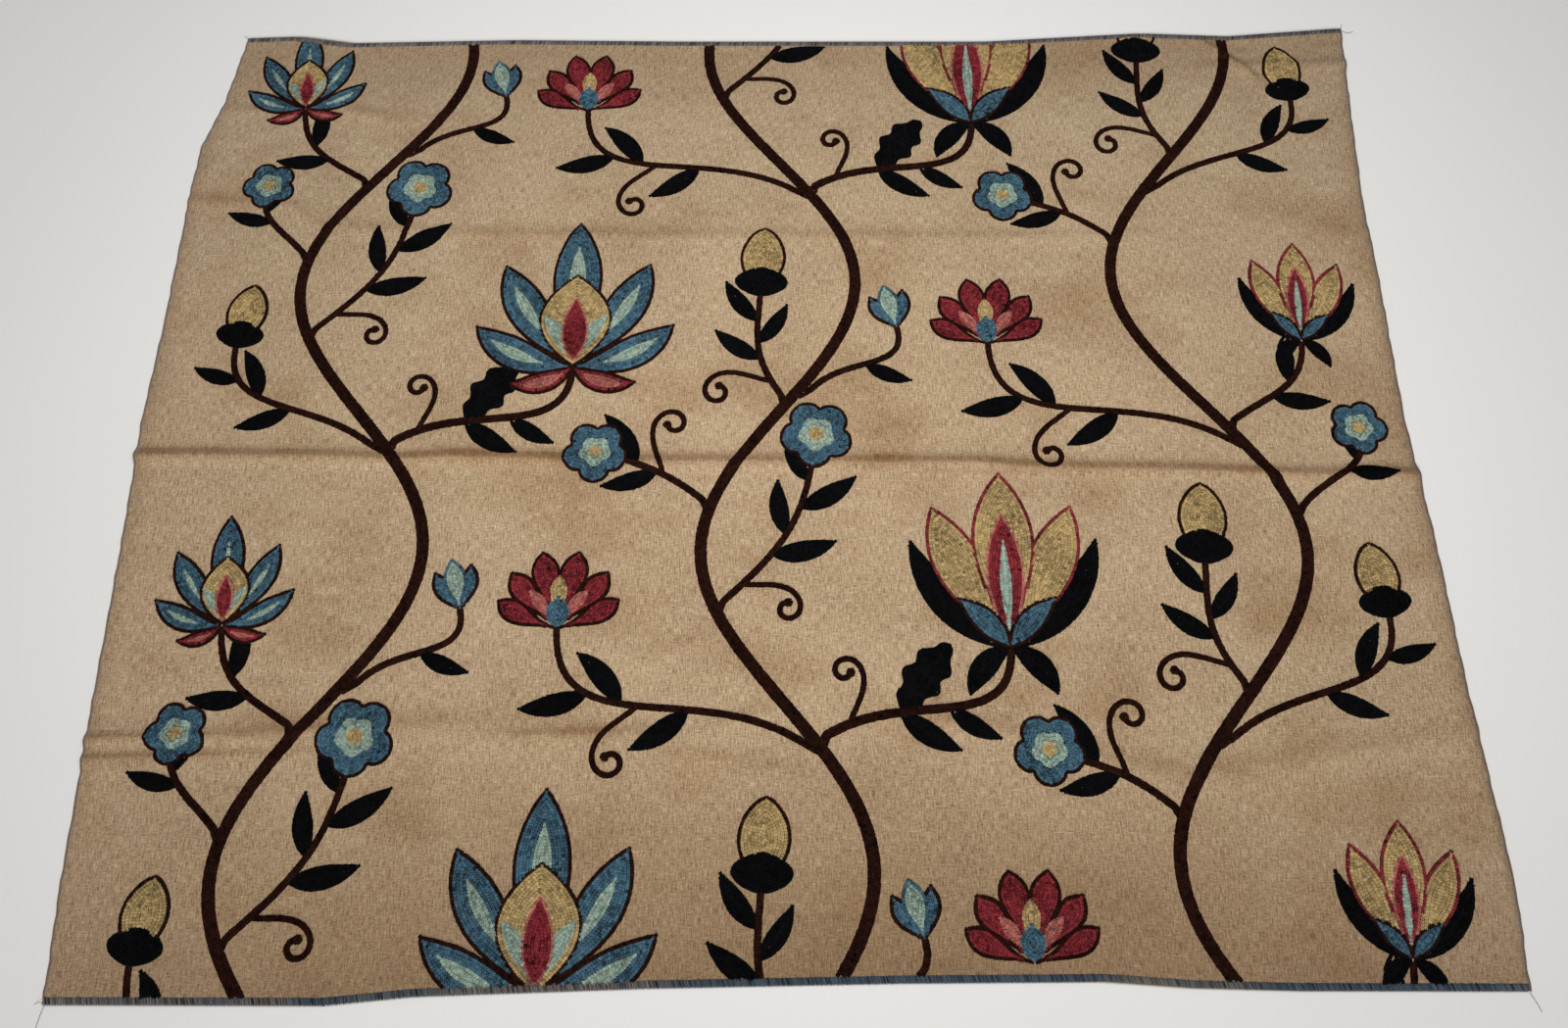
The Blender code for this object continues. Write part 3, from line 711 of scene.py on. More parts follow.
def inside(points: np.ndarray, outline: np.ndarray) -> np.ndarray:
    """Whether each point lies inside a closed outline."""
    x, y = points[:, :1], points[:, 1:]
    start, end = outline, np.roll(outline, -1, axis=0)
    level = (start[:, 1] > y) != (end[:, 1] > y)
    rise = np.where(end[:, 1] == start[:, 1], 1e-12, end[:, 1] - start[:, 1])
    crossing = start[:, 0] + (y - start[:, 1]) * (end[:, 0] - start[:, 0]) / rise
    return (level & (x < crossing)).sum(1) % 2 == 1


def fanned(rim: np.ndarray) -> tuple[np.ndarray, np.ndarray]:
    """Corners of a closed outline, each repeated so that its inward normals turn evenly.

    Args:
        rim: Points of the outline.

    Returns:
        The repeated points and the inward unit normal of each.
    """
    run = np.roll(rim, -1, axis=0) - rim
    run /= np.maximum(np.linalg.norm(run, axis=1), 1e-12)[:, None]
    area = (rim[:, 0] * np.roll(rim[:, 1], -1) - np.roll(rim[:, 0], -1) * rim[:, 1]).sum()
    normal = np.stack([-run[:, 1], run[:, 0]], axis=1) * (1 if area > 0 else -1)
    before = np.roll(normal, 1, axis=0)
    turn = np.arccos(np.clip((normal * before).sum(1), -1.0, 1.0))
    times = 1 + (turn / 0.12).astype(int)
    which = np.repeat(np.arange(len(rim)), times)
    order = np.arange(len(which)) - np.repeat(np.cumsum(times) - times, times)
    share = ((order + 0.5) / times[which])[:, None]
    inward = before[which] * (1 - share) + normal[which] * share
    return rim[which], inward / np.maximum(np.linalg.norm(inward, axis=1), 1e-9)[:, None]


def outward(outline: np.ndarray) -> np.ndarray:
    """Unit normals that point out of a closed outline."""
    run = np.roll(outline, -1, axis=0) - np.roll(outline, 1, axis=0)
    run /= np.maximum(np.linalg.norm(run, axis=1), 1e-12)[:, None]
    area = (outline[:, 0] * np.roll(outline[:, 1], -1) - np.roll(outline[:, 0], -1) * outline[:, 1]).sum()
    side = np.stack([run[:, 1], -run[:, 0]], axis=1)
    return side if area > 0 else -side


@dataclass(frozen=True)
class Shape:
    """A closed form that is filled with rows of stitches from its rim inwards."""

    def outline(self) -> np.ndarray:
        """Points round the form."""
        raise NotImplementedError

    def spines(self) -> list[np.ndarray]:
        """Lines along the middle of the form."""
        raise NotImplementedError

    def rows(self, size: float, pitch: float) -> list[tuple[int, np.ndarray, float]]:
        """Lines of stitches that fill the form.

        Args:
            size: The form's size.
            pitch: Wanted distance between rows.

        Returns:
            For each line its row number from the rim, its points and its true pitch.
        """
        rim = resampled(self.outline() * size, 0.0012, closed=True)
        spines = [resampled(spine * size, 0.0012) for spine in self.spines()]
        depths = [distance_to(spine, rim) for spine in spines]
        depth = max(away.max() for away in depths)
        count = max(1, round(depth / pitch))
        own = depth / count
        corners, inward = fanned(rim)
        lines = []
        for row in range(count):
            moved = corners + inward * own * (row + 0.5)
            good = (distance_to(moved, rim) > own * (row + 0.5) * 0.985) & inside(moved, rim)
            lines += [(row, run, own) for run in self.runs(moved, good)]
        for spine, away in zip(spines, depths):
            half = len(spine) // 2
            for end, reach in ((spine[:half], away[:half]), (spine[half:], away[half:])):
                if (reach < 0.9 * own).sum() > 2:
                    lines.append((0, end[reach < 0.9 * own][1:], own))
            filled = np.floor(away / own + 0.5)
            filled = np.where(away < 2.0 * own, np.minimum(filled, 1), filled)
            bare = ((away / own - filled > -0.12) & (away > 0.4 * own)) | ((away > 0.4 * own) & (away < own))
            for run in np.split(np.arange(len(spine)), np.nonzero(np.diff(np.where(bare, filled, -1)))[0] + 1):
                if bare[run[0]] and len(run) > 2:
                    lines.append((int(filled[run[0]]), spine[run], own))
        return lines

    @staticmethod
    def runs(points: np.ndarray, good: np.ndarray) -> list[np.ndarray]:
        """Split a closed line where points are missing, and bridge its small gaps."""
        if not good.any():
            return []
        start = int(np.argmin(good))
        order = np.roll(np.arange(len(points)), -start)
        kept = points[order][good[order]]
        if good.all():
            kept = np.vstack([kept, kept[:1]])
        jumps = np.linalg.norm(np.diff(kept, axis=0), axis=1) > 0.0042
        pieces = np.split(kept, np.nonzero(jumps)[0] + 1)
        return [piece for piece in pieces if len(piece) > 1]


@dataclass(frozen=True)
class Blade(Shape):
    """A leaf or petal that grows along +Y from its base and bends clockwise."""

    length: float
    width: float
    bend: float = 0.0
    fullest: float = 0.45
    lobes: float = 0.0
    depth: float = 0.0
    square: float = 0.8
    steps: int = 40

    def rib(self) -> np.ndarray:
        """Points along the middle rib."""
        u = np.linspace(0.0, 1.0, self.steps + 1)
        heading = self.bend * (u[:-1] + u[1:]) / 2
        stride = np.stack([np.sin(heading), np.cos(heading)], axis=1) * self.length / self.steps
        return np.vstack([[0.0, 0.0], np.cumsum(stride, axis=0)])

    def outline(self) -> np.ndarray:
        """Points round the blade."""
        u = np.linspace(0.0, 1.0, self.steps + 1)
        half = self.width / 2 * np.sin(np.pi * u ** (math.log(0.5) / math.log(self.fullest))) ** self.square
        half = half * (1 - self.depth * (0.5 + 0.5 * np.cos(2 * np.pi * self.lobes * u)))
        side = np.stack([np.cos(self.bend * u), -np.sin(self.bend * u)], axis=1) * half[:, None]
        rib = self.rib()
        return np.vstack([rib + side, (rib - side)[-2:0:-1]])

    def spines(self) -> list[np.ndarray]:
        """The middle rib."""
        return [self.rib()]


@dataclass(frozen=True)
class Rosette(Shape):
    """A round flower with notched petals."""

    radius: float
    petals: int = 5
    notch: float = 0.22

    def outline(self) -> np.ndarray:
        """Points round the flower."""
        turn = np.linspace(0.0, 2 * np.pi, self.petals * 16, endpoint=False)
        reach = self.radius * (1 - self.notch * (1 - np.abs(np.sin(self.petals * turn / 2)) ** 0.7))
        return np.stack([reach * np.sin(turn), reach * np.cos(turn)], axis=1)

    def spines(self) -> list[np.ndarray]:
        """A line from the middle into each petal."""
        turns = (np.arange(self.petals) + 0.5) * 2 * np.pi / self.petals
        return [np.outer([0.0, self.radius], [math.sin(turn), math.cos(turn)]) for turn in turns]


@dataclass(frozen=True)
class Petal:
    """One petal's form, where it points, and its wools from the rim inwards."""

    angle: float
    shape: Shape
    yarns: tuple[Yarn, ...]
    base: tuple[float, float] = (0.0, 0.0)


BARK, INK, BLUE, AQUA, CRIMSON, ROSE, GOLD = Yarn

FLOWERS: dict[str, tuple[Petal, ...]] = {
    "palmette": (
        Petal(88, Blade(0.112, 0.036, 0.8, 0.55), (BARK, BLUE, BLUE, BLUE, AQUA)),
        Petal(44, Blade(0.138, 0.042, 0.4, 0.60), (BARK, BLUE, BLUE, BLUE, BLUE, AQUA)),
        Petal(0, Blade(0.165, 0.050, 0.0, 0.60), (BARK, BLUE, BLUE, BLUE, BLUE, BLUE, AQUA)),
        Petal(134, Blade(0.068, 0.024, 1.0, 0.50), (BARK, CRIMSON, ROSE)),
        Petal(0, Blade(0.104, 0.074, 0.0, 0.50), (BARK, GOLD)),
        Petal(22, Blade(0.062, 0.016, -0.3, 0.60), (AQUA,), (0.0, 0.004)),
        Petal(0, Blade(0.072, 0.028, 0.0, 0.45), (ROSE, CRIMSON), (0.0, 0.006)),
    ),
    "tulip": (
        Petal(66, Blade(0.138, 0.030, 0.9, 0.50), (INK,)),
        Petal(33, Blade(0.150, 0.046, 0.25, 0.60), (CRIMSON, GOLD)),
        Petal(0, Blade(0.168, 0.058, 0.0, 0.60), (CRIMSON, GOLD)),
        Petal(0, Blade(0.128, 0.036, 0.0, 0.55), (ROSE, CRIMSON)),
        Petal(0, Blade(0.086, 0.011, 0.0, 0.50), (AQUA,), (0.0, 0.016)),
        Petal(112, Blade(0.060, 0.022, -0.9, 0.50), (INK,)),
        Petal(36, Blade(0.066, 0.025, -0.3, 0.45), (BARK, BLUE)),
    ),
    "carnation": (
        Petal(76, Blade(0.070, 0.025, 0.4, 0.70), (BARK, CRIMSON)),
        Petal(46, Blade(0.078, 0.028, 0.2, 0.72), (BARK, CRIMSON)),
        Petal(16, Blade(0.084, 0.030, 0.1, 0.72), (BARK, CRIMSON)),
        Petal(31, Blade(0.050, 0.014, -0.2, 0.70), (ROSE,)),
        Petal(0, Blade(0.056, 0.018, 0.0, 0.70), (GOLD,)),
        Petal(0, Blade(0.034, 0.026, 0.0, 0.50), (BLUE,)),
    ),
    "bud": (
        Petal(34, Blade(0.050, 0.020, 0.4, 0.60), (BARK, BLUE)),
        Petal(0, Blade(0.056, 0.024, 0.0, 0.60), (BLUE, AQUA)),
    ),
    "rose": (
        Petal(0, Rosette(0.040), (BARK, BLUE)),
        Petal(0, Rosette(0.020, 5, 0.20), (AQUA,)),
        Petal(0, Rosette(0.0085, 5, 0.0), (GOLD,)),
    ),
    "acorn": (
        Petal(0, Blade(0.080, 0.052, 0.0, 0.5, square=0.6), (BARK, GOLD)),
        Petal(0, Blade(0.038, 0.060, 0.0, 0.5, square=0.6), (INK,), (0.0, -0.010)),
    ),
}
LEAVES: dict[str, Blade] = {
    "blade": Blade(0.078, 0.025, -0.45, 0.45),
    "lobed": Blade(0.108, 0.058, -0.20, 0.52, lobes=3.5, depth=0.32, square=0.6),
}


@dataclass(frozen=True)
class Leaf:
    """A leaf's kind, share along the branch, side (-1 left, 1 right) and size."""

    kind: str
    share: float
    side: int
    size: float


@dataclass(frozen=True)
class Sprig:
    """A branch from a stem, with the flower at its end and its leaves.

    The side is that of its field that it grows from, and headings are degrees clockwise from +Y.
    """

    side: int
    start: float
    heading: float
    end: tuple[float, float]
    end_heading: float
    flower: str
    size: float
    leaves: tuple[Leaf, ...]


@dataclass(frozen=True)
class Field:
    """The ground between two stems, and the sprigs that fill it once in each repeat."""

    middle: tuple[float, float]
    left_stem: int | None
    right_stem: int | None
    flower: str
    sprigs: tuple[Sprig, ...]


FIELD_SPRIGS = (
    Sprig(-1, -0.200, 58, (0.000, -0.106), 0, "main", 1.12,
          (Leaf("lobed", 0.30, -1, 0.8), Leaf("blade", 0.30, 1, 0.9), Leaf("blade", 0.50, 1, 0.75),
           Leaf("curl", 0.10, -1, 0.8))),
    Sprig(-1, -0.060, 48, (-0.192, 0.130), 8, "rose", 1.0,
          (Leaf("blade", 0.30, 1, 0.9), Leaf("blade", 0.44, -1, 0.8), Leaf("blade", 0.62, 1, 0.9),
           Leaf("blade", 0.78, -1, 0.7), Leaf("curl", 0.10, 1, 0.8))),
    Sprig(1, -0.150, -34, (0.208, -0.010), 4, "acorn", 1.0,
          (Leaf("blade", 0.35, -1, 0.8), Leaf("blade", 0.52, 1, 0.75), Leaf("blade", 0.74, -1, 0.8),
           Leaf("curl", 0.12, -1, 0.9))),
    Sprig(1, 0.128, -58, (0.000, 0.238), 0, "carnation", 1.0,
          (Leaf("blade", 0.34, -1, 0.9), Leaf("blade", 0.56, 1, 0.9), Leaf("blade", 0.70, -1, 0.9),
           Leaf("curl", 0.50, -1, 0.9))),
    Sprig(-1, 0.190, 42, (-0.100, 0.258), -14, "bud", 1.0, (Leaf("blade", 0.45, 1, 0.7),)),
    Sprig(1, 0.372, -50, (0.030, 0.432), -70, "rose", 0.9,
          (Leaf("blade", 0.45, -1, 0.8), Leaf("blade", 0.66, 1, 0.9), Leaf("curl", 0.38, 1, 0.9))),
)
LEFT_SPRIGS = (
    Sprig(1, -0.305, -58, (-0.572, -0.196), -4, "palmette", 0.72,
          (Leaf("blade", 0.36, -1, 0.8), Leaf("blade", 0.58, 1, 0.8))),
    Sprig(1, 0.010, -52, (-0.606, 0.130), 8, "acorn", 0.9,
          (Leaf("blade", 0.40, -1, 0.8), Leaf("blade", 0.58, 1, 0.8), Leaf("blade", 0.76, -1, 0.7))),
    Sprig(1, 0.240, -42, (-0.600, 0.335), 12, "rose", 0.8,
          (Leaf("blade", 0.50, -1, 0.7), Leaf("blade", 0.66, 1, 0.7))),
)
RIGHT_SPRIGS = (
    Sprig(-1, 0.015, 55, (0.578, 0.118), 4, "tulip", 0.74,
          (Leaf("blade", 0.36, 1, 0.8), Leaf("blade", 0.58, -1, 0.8))),
    Sprig(-1, -0.310, 52, (0.616, -0.190), -6, "acorn", 0.9,
          (Leaf("blade", 0.40, 1, 0.8), Leaf("blade", 0.58, -1, 0.8), Leaf("blade", 0.76, 1, 0.7))),
    Sprig(-1, -0.080, 42, (0.622, 0.012), -10, "rose", 0.8,
          (Leaf("blade", 0.50, 1, 0.7), Leaf("blade", 0.66, -1, 0.7))),
)


@dataclass(frozen=True)
class Layout:
    """The climbing stems and the sprigs between them."""

    repeat: float = 0.640
    spacing: float = 0.460
    sway: float = 0.085
    crest_y: float = -0.120
    stem_width: float = 0.0125
    stem_clear: float = 0.0105
    main_branch: float = 0.0080
    fine_branch: float = 0.0060
    leaf_spread: float = 52
    tuck: float = 0.0035
    root_drop: float = 0.014
    curl_length: float = 0.150
    curl_start: float = 48
    curl_swing: float = -60
    curl_turn: float = 420
    fields: tuple[Field, ...] = (
        Field((-0.230, 0.200), 0, 1, "palmette", FIELD_SPRIGS),
        Field((0.230, -0.120), 1, 2, "tulip", FIELD_SPRIGS),
        Field((0.0, 0.0), None, 0, "", LEFT_SPRIGS),
        Field((0.0, 0.0), 2, None, "", RIGHT_SPRIGS),
    )

    def stem_x(self, stem: int, y: float) -> float:
        """X of a climbing stem; neighbours sway opposite ways."""
        sway = self.sway * np.cos(2 * math.pi * (y - self.crest_y) / self.repeat)
        return (stem - 1) * self.spacing + (sway if stem != 1 else -sway)

    def beside(self, stem: int, places: np.ndarray) -> np.ndarray:
        """How far points lie to the right of a climbing stem's middle line."""
        lean = (self.stem_x(stem, places[:, 1] + 0.001) - self.stem_x(stem, places[:, 1] - 0.001)) / 0.002
        return (places[:, 0] - self.stem_x(stem, places[:, 1])) / np.hypot(1.0, lean)

    def curl(self, root: np.ndarray, heading: float, leaf: Leaf) -> np.ndarray:
        """A tendril that leaves a branch, swings out and curls back on itself.

        Args:
            root: Where it leaves the branch.
            heading: The branch's heading there, degrees clockwise from +Y.
            leaf: Its side and size.

        Returns:
            Points of its line.
        """
        u = np.linspace(0.0, 1.0, 48)
        turn = np.radians(heading + leaf.side * (self.curl_start + self.curl_swing * u + self.curl_turn * u ** 2.4))
        stride = np.stack([np.sin(turn), np.cos(turn)], axis=1) * self.curl_length * leaf.size / len(u)
        return root + np.vstack([[0.0, 0.0], np.cumsum(stride, axis=0)])

    def branch(self, sprig: Sprig, field_: Field, lift: float) -> np.ndarray:
        """The middle line of a sprig's branch, from just inside its stem to its flower.

        Args:
            sprig: The sprig.
            field_: The field that it grows in.
            lift: How far up the cloth this repeat lies.

        Returns:
            Points of the line.
        """
        stem = field_.left_stem if sprig.side < 0 else field_.right_stem
        y = field_.middle[1] + lift + sprig.start
        slope = math.atan2(self.stem_x(stem, y + 0.001) - self.stem_x(stem, y - 0.001), 0.002)
        start = np.array([self.stem_x(stem, y) - sprig.side * self.stem_clear * math.cos(slope),
                          y + sprig.side * self.stem_clear * math.sin(slope)])
        end = np.add(field_.middle, sprig.end) + [0.0, lift]
        out, back = (np.array([math.sin(math.radians(a)), math.cos(math.radians(a))])
                     for a in (sprig.heading, sprig.end_heading))
        pull = 0.45 * np.linalg.norm(end - start)
        u = np.linspace(0.0, 1.0, 29)[:, None]
        curve = ((1 - u) ** 3 * start + 3 * u * (1 - u) ** 2 * (start + pull * out)
                 + 3 * u * u * (1 - u) * (end - pull * back) + u ** 3 * end)
        return curve


@dataclass
class Line:
    """Stitches of one line: their places, runs, row pitch, wool, bed spread, lift and form."""

    places: np.ndarray
    runs: np.ndarray
    pitch: float
    yarn: Yarn
    spread: float
    lift: float
    form: int

    def keep(self, kept: np.ndarray) -> None:
        """Keep some of the stitches."""
        self.places, self.runs = self.places[kept], self.runs[kept]


@dataclass
class Stitches:
    """The stitched lines of one piece, form by form."""

    lines: list[Line] = field(default_factory=list)
    forms: int = 0
    form_lift: float = 0.00010
    highest_form: int = 4

    def add_line(self, line: np.ndarray, pitch: float, yarn: Yarn, length: float, spread: float) -> None:
        """Lay stitches of about one length along a line."""
        points = resampled(line, length)
        lift = min(self.forms, self.highest_form) * self.form_lift
        self.lines.append(Line((points[1:] + points[:-1]) / 2, np.diff(points, axis=0), pitch, yarn, spread,
                               lift, self.forms))

    def column(self, name: str) -> np.ndarray:
        """One value of the lines, repeated for each stitch."""
        return np.repeat([getattr(line, name) for line in self.lines], [len(line.places) for line in self.lines])

    def count(self) -> int:
        """Number of stitches."""
        return sum(len(line.places) for line in self.lines)


@dataclass
class CrewelWork:
    """The wool: every stem and sprig, worked in rows of chain stitch."""

    relief: Relief
    finishes: Finishes
    linen: Linen
    layout: Layout = field(default_factory=Layout)
    row_pitch: float = 0.0032
    stitch_length: float = 0.0030
    shortest_run: int = 3
    strand: float = 0.00062
    cover: float = -0.0007
    inner_spread: float = 1.7
    ribbon_spread: float = 1.2
    curl_widths: tuple[float, float] = (0.0050, 0.0056)
    knob_radius: float = 0.0030
    overlap: float = 0.0006
    ribbon_squeeze: float = 0.92
    margin: float = 0.0066
    smallest: int = 30
    scrap: int = 10
    most_sag: float = 0.0006
    cache: dict = field(default_factory=dict)
    random: np.random.Generator = field(default_factory=lambda: np.random.default_rng(11))

    def chain_form(self) -> tuple[np.ndarray, np.ndarray]:
        """One chain stitch: a bed of wool and two strands that part and meet again.

        Returns:
            Points with x across in row pitches, y along in stitch lengths, z in strand heights and a tone
            of painted shade, low on the bed and in the hollows, higher on the ridges; and triangles, the bed under
            the strands first.
        """
        # The bed is wool set dark as painted shade in the gaps between the strands.
        verts = [(x, y, 0.34, -0.75) for x in (-0.56, 0.56) for y in (-0.60, 0.60)]
        faces = [(0, 2, 3), (0, 3, 1)]
        for side in (-1, 1):
            tip = len(verts)
            verts.append((side * 0.03, -0.62, 0.55, -0.55))
            for x, y, half, z, tone in ((0.17, -0.22, 0.22, 1.55, 0.10), (0.27, 0.28, 0.24, 1.95, 0.25)):
                verts += [(side * x - half, y, 0.30, -0.45), (side * x, y, z, tone),
                          (side * x + half, y, 0.30, -0.45)]
            verts.append((side * 0.20, 0.68, 0.85, -0.30))
            ring, next_ring, end = tip + 1, tip + 4, tip + 7
            for left, right in ((0, 1), (1, 2)):
                faces += [(tip, ring + right, ring + left), (end, next_ring + left, next_ring + right),
                          (ring + left, ring + right, next_ring + right),
                          (ring + left, next_ring + right, next_ring + left)]
        return np.array(verts), np.array(faces)

    def shape_rows(self, shape: Shape, size: float) -> list[tuple[int, np.ndarray, float]]:
        """A form's rows, worked out once for each form and size."""
        key = (shape, round(size, 4))
        if key not in self.cache:
            self.cache[key] = shape.rows(size, self.row_pitch)
        return self.cache[key]

    def fill(self, stitches: Stitches, shape: Shape, yarns: tuple[Yarn, ...], size: float, heading: float,
             base: np.ndarray, mirrored: bool) -> np.ndarray:
        """Fill one form with rows.

        Args:
            stitches: Where the stitches go.
            shape: The form.
            yarns: Its wools from the rim inwards.
            size: Its size.
            heading: Where it points, degrees clockwise from +Y.
            base: Where its base lies.
            mirrored: Whether it is mirrored.

        Returns:
            The form's outline on the cloth.
        """
        for row, line, pitch in self.shape_rows(shape, size):
            points = placed(line, heading, *base, 1.0, mirrored)
            yarn = yarns[min(int(row / min(size, 1.0)), len(yarns) - 1)]
            spread = self.inner_spread if row else 1.0
            stitches.add_line(points[::-1] if row % 2 else points, pitch, yarn, self.stitch_length, spread)
        stitches.forms += 1
        return placed(shape.outline() * size, heading, *base, 1.0, mirrored)

    def ribbon(self, stitches: Stitches, line: np.ndarray, widths: tuple[float, float], yarn: Yarn,
               knob: float = 0.0) -> np.ndarray:
        """Work a stem or branch in rows along its line.

        Args:
            stitches: Where the stitches go.
            line: Its middle line.
            widths: Its width at the start and at the end.
            yarn: Its wool.
            knob: Radius of the ring of stitches round its end, if it has one.

        Returns:
            The outline of the stem or branch.
        """
        line = resampled(line, 0.004)
        run = np.gradient(line, axis=0)
        run /= np.linalg.norm(run, axis=1)[:, None]
        side = np.stack([run[:, 1], -run[:, 0]], axis=1)
        half = np.linspace(*widths, len(line))[:, None] / 2
        count = max(1, round(sum(widths) / 2 / self.row_pitch))
        for row in range(count):
            share = (2 * row + 1) / count - 1
            points = line + side * half * share * self.ribbon_squeeze
            stitches.add_line(points if row % 2 else points[::-1], 2 * half.mean() / count, yarn,
                              self.stitch_length, self.ribbon_spread)
        if knob:
            turn = np.linspace(0.0, 2 * np.pi, 13)[:, None]
            stitches.add_line(line[-1] + knob * np.hstack([np.sin(turn), np.cos(turn)]), self.row_pitch, yarn,
                              self.stitch_length, self.ribbon_spread)
        stitches.forms += 1
        return np.vstack([line + side * half, (line - side * half)[::-1]])

    def covered(self, stitches: Stitches, outline: np.ndarray, before: int) -> None:
        """Drop the stitches of earlier lines where a later form lies over them."""
        rim = outline + outward(outline) * self.cover
        for line in stitches.lines[:before]:
            kept = ~inside(line.places, rim)
            if not kept.all() and kept.sum() < self.shortest_run:
                kept[:] = False
            line.keep(kept)

    def sprig(self, sprig: Sprig, field_: Field, lift: float) -> Stitches:
        """Work one sprig: its leaves, branch and flower."""
        stitches = Stitches()
        line = self.layout.branch(sprig, field_, lift)
        for leaf in sprig.leaves:
            place = leaf.share * (len(line) - 1)
            first = int(place)
            run = line[first + 1] - line[first]
            root = line[first] + run * (place - first)
            along_branch = math.degrees(math.atan2(run[0], run[1]))
            if leaf.kind == "curl":
                curl = self.layout.curl(root, along_branch, leaf)
                self.ribbon(stitches, curl, self.curl_widths, Yarn.BARK, self.knob_radius)
                continue
            heading = along_branch + leaf.side * self.layout.leaf_spread
            before = len(stitches.lines)
            shape = LEAVES[leaf.kind]
            outline = self.fill(stitches, shape, (Yarn.INK,), leaf.size, heading, root, leaf.side < 0)
            self.covered(stitches, outline, before)
        wide = self.layout.main_branch if sprig.flower == "main" else self.layout.fine_branch
        before = len(stitches.lines)
        stem = field_.left_stem if sprig.side < 0 else field_.right_stem
        root_y = line[0, 1] - self.layout.root_drop
        root = np.array([self.layout.stem_x(stem, root_y), root_y])
        last_run = (line[-1] - line[-2]) / np.linalg.norm(line[-1] - line[-2])
        full = np.vstack([root, line, line[-1] + self.layout.tuck * last_run])
        outline = self.ribbon(stitches, full, (wide * 1.25, wide * 0.9), Yarn.BARK)
        self.covered(stitches, outline, before)
        for worked in stitches.lines:
            clear = -sprig.side * self.layout.beside(stem, worked.places)
            worked.keep(clear > self.layout.stem_width / 2 - self.overlap)
        flower = field_.flower if sprig.flower == "main" else sprig.flower
        end = line[-1]
        for petal in FLOWERS[flower]:
            for side in (1,) if petal.angle == 0 else (1, -1):
                before = len(stitches.lines)
                base = placed(np.array([petal.base]), sprig.end_heading, *end, sprig.size)[0]
                shape = petal.shape
                heading = sprig.end_heading + side * petal.angle
                outline = self.fill(stitches, shape, petal.yarns, sprig.size, heading, base, side > 0)
                self.covered(stitches, outline, before)
        return stitches

    def piece(self, name: str, node: str, stitches: Stitches, slot: str) -> bpy.types.Object | None:
        """Turn stitches into one joined mesh on the cloth.

        Args:
            name: The piece's name.
            node: The solid that it replaces.
            stitches: Its stitches.
            slot: Its slot; not used.

        Returns:
            The piece.
        """
        places = np.concatenate([line.places for line in stitches.lines])
        runs = np.concatenate([line.runs for line in stitches.lines])
        yarns = np.array([list(Yarn).index(yarn) for yarn in stitches.column("yarn")])
        form, triangles = self.chain_form()
        count = len(places)
        length = np.linalg.norm(runs, axis=1)
        run = runs / length[:, None]
        turn = self.random.normal(0.0, 0.07, count)
        c, s = np.cos(turn), np.sin(turn)
        run = np.stack([run[:, 0] * c - run[:, 1] * s, run[:, 0] * s + run[:, 1] * c], axis=1)
        side = np.stack([run[:, 1], -run[:, 0]], axis=1)
        width = stitches.column("pitch") * self.random.uniform(0.94, 1.08, count)
        place = places + side * self.random.normal(0.0, 0.00012, count)[:, None]
        across = form[:, 0] * width[:, None]
        across[:, :4] *= stitches.column("spread")[:, None]
        plan = (place[:, None] + side[:, None] * across[..., None]
                + run[:, None] * (form[:, 1] * length[:, None] * 1.04)[..., None])
        flat = plan.reshape(-1, 2)
        rise = form[:, 2] * self.strand * self.random.uniform(0.86, 1.14, count)[:, None]
        rise[:, 4:] += stitches.column("lift")[:, None]
        tops = self.linen.surface(flat[:, 0], flat[:, 1]).reshape(count, -1)
        sag = self.linen.surface(place[:, 0], place[:, 1]) - tops[:, :4].mean(1)
        rise += np.clip(sag, 0.0, self.most_sag)[:, None]
        verts = np.column_stack([flat, (tops + rise).ravel()])
        faces = (triangles[:, None, :] + (np.arange(count) * len(form))[None, :, None]).reshape(-1, 3)
        used = sorted(set(yarns.tolist()))
        slots = np.searchsorted(used, yarns)
        kinds = np.tile(slots, len(triangles))
        # Each stitch's own random tone, plus the chain form's painted shade in its hollows and on its bed.
        drift = 0.5 + 0.12 * np.sin(places[:, 0] * 61 + places[:, 1] * 47) + self.random.normal(0, 0.26, count)
        tones = (drift[:, None] + form[:, 3]).ravel()
        thing = show(name, verts, faces, [self.finishes.wool(list(Yarn)[u]) for u in used], kinds, tones)
        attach(thing, "root")
        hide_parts(node)
        LOG.info("%s: %d stitches", name, count)
        return thing

    def on_cloth(self, stitches: Stitches) -> int:
        """Drop the stitches past the cut edges and the scraps of forms they leave, and count the rest."""
        left: dict[int, int] = {}
        for line in stitches.lines:
            x, y = line.places[:, 0], line.places[:, 1]
            line.keep((y > self.relief.near_edge(x) + self.margin) & (y < self.relief.far_edge(x) - self.margin))
            left[line.form] = left.get(line.form, 0) + len(line.places)
        for line in stitches.lines:
            if left[line.form] < self.scrap:
                line.keep(np.zeros(len(line.places), dtype=bool))
        return stitches.count()

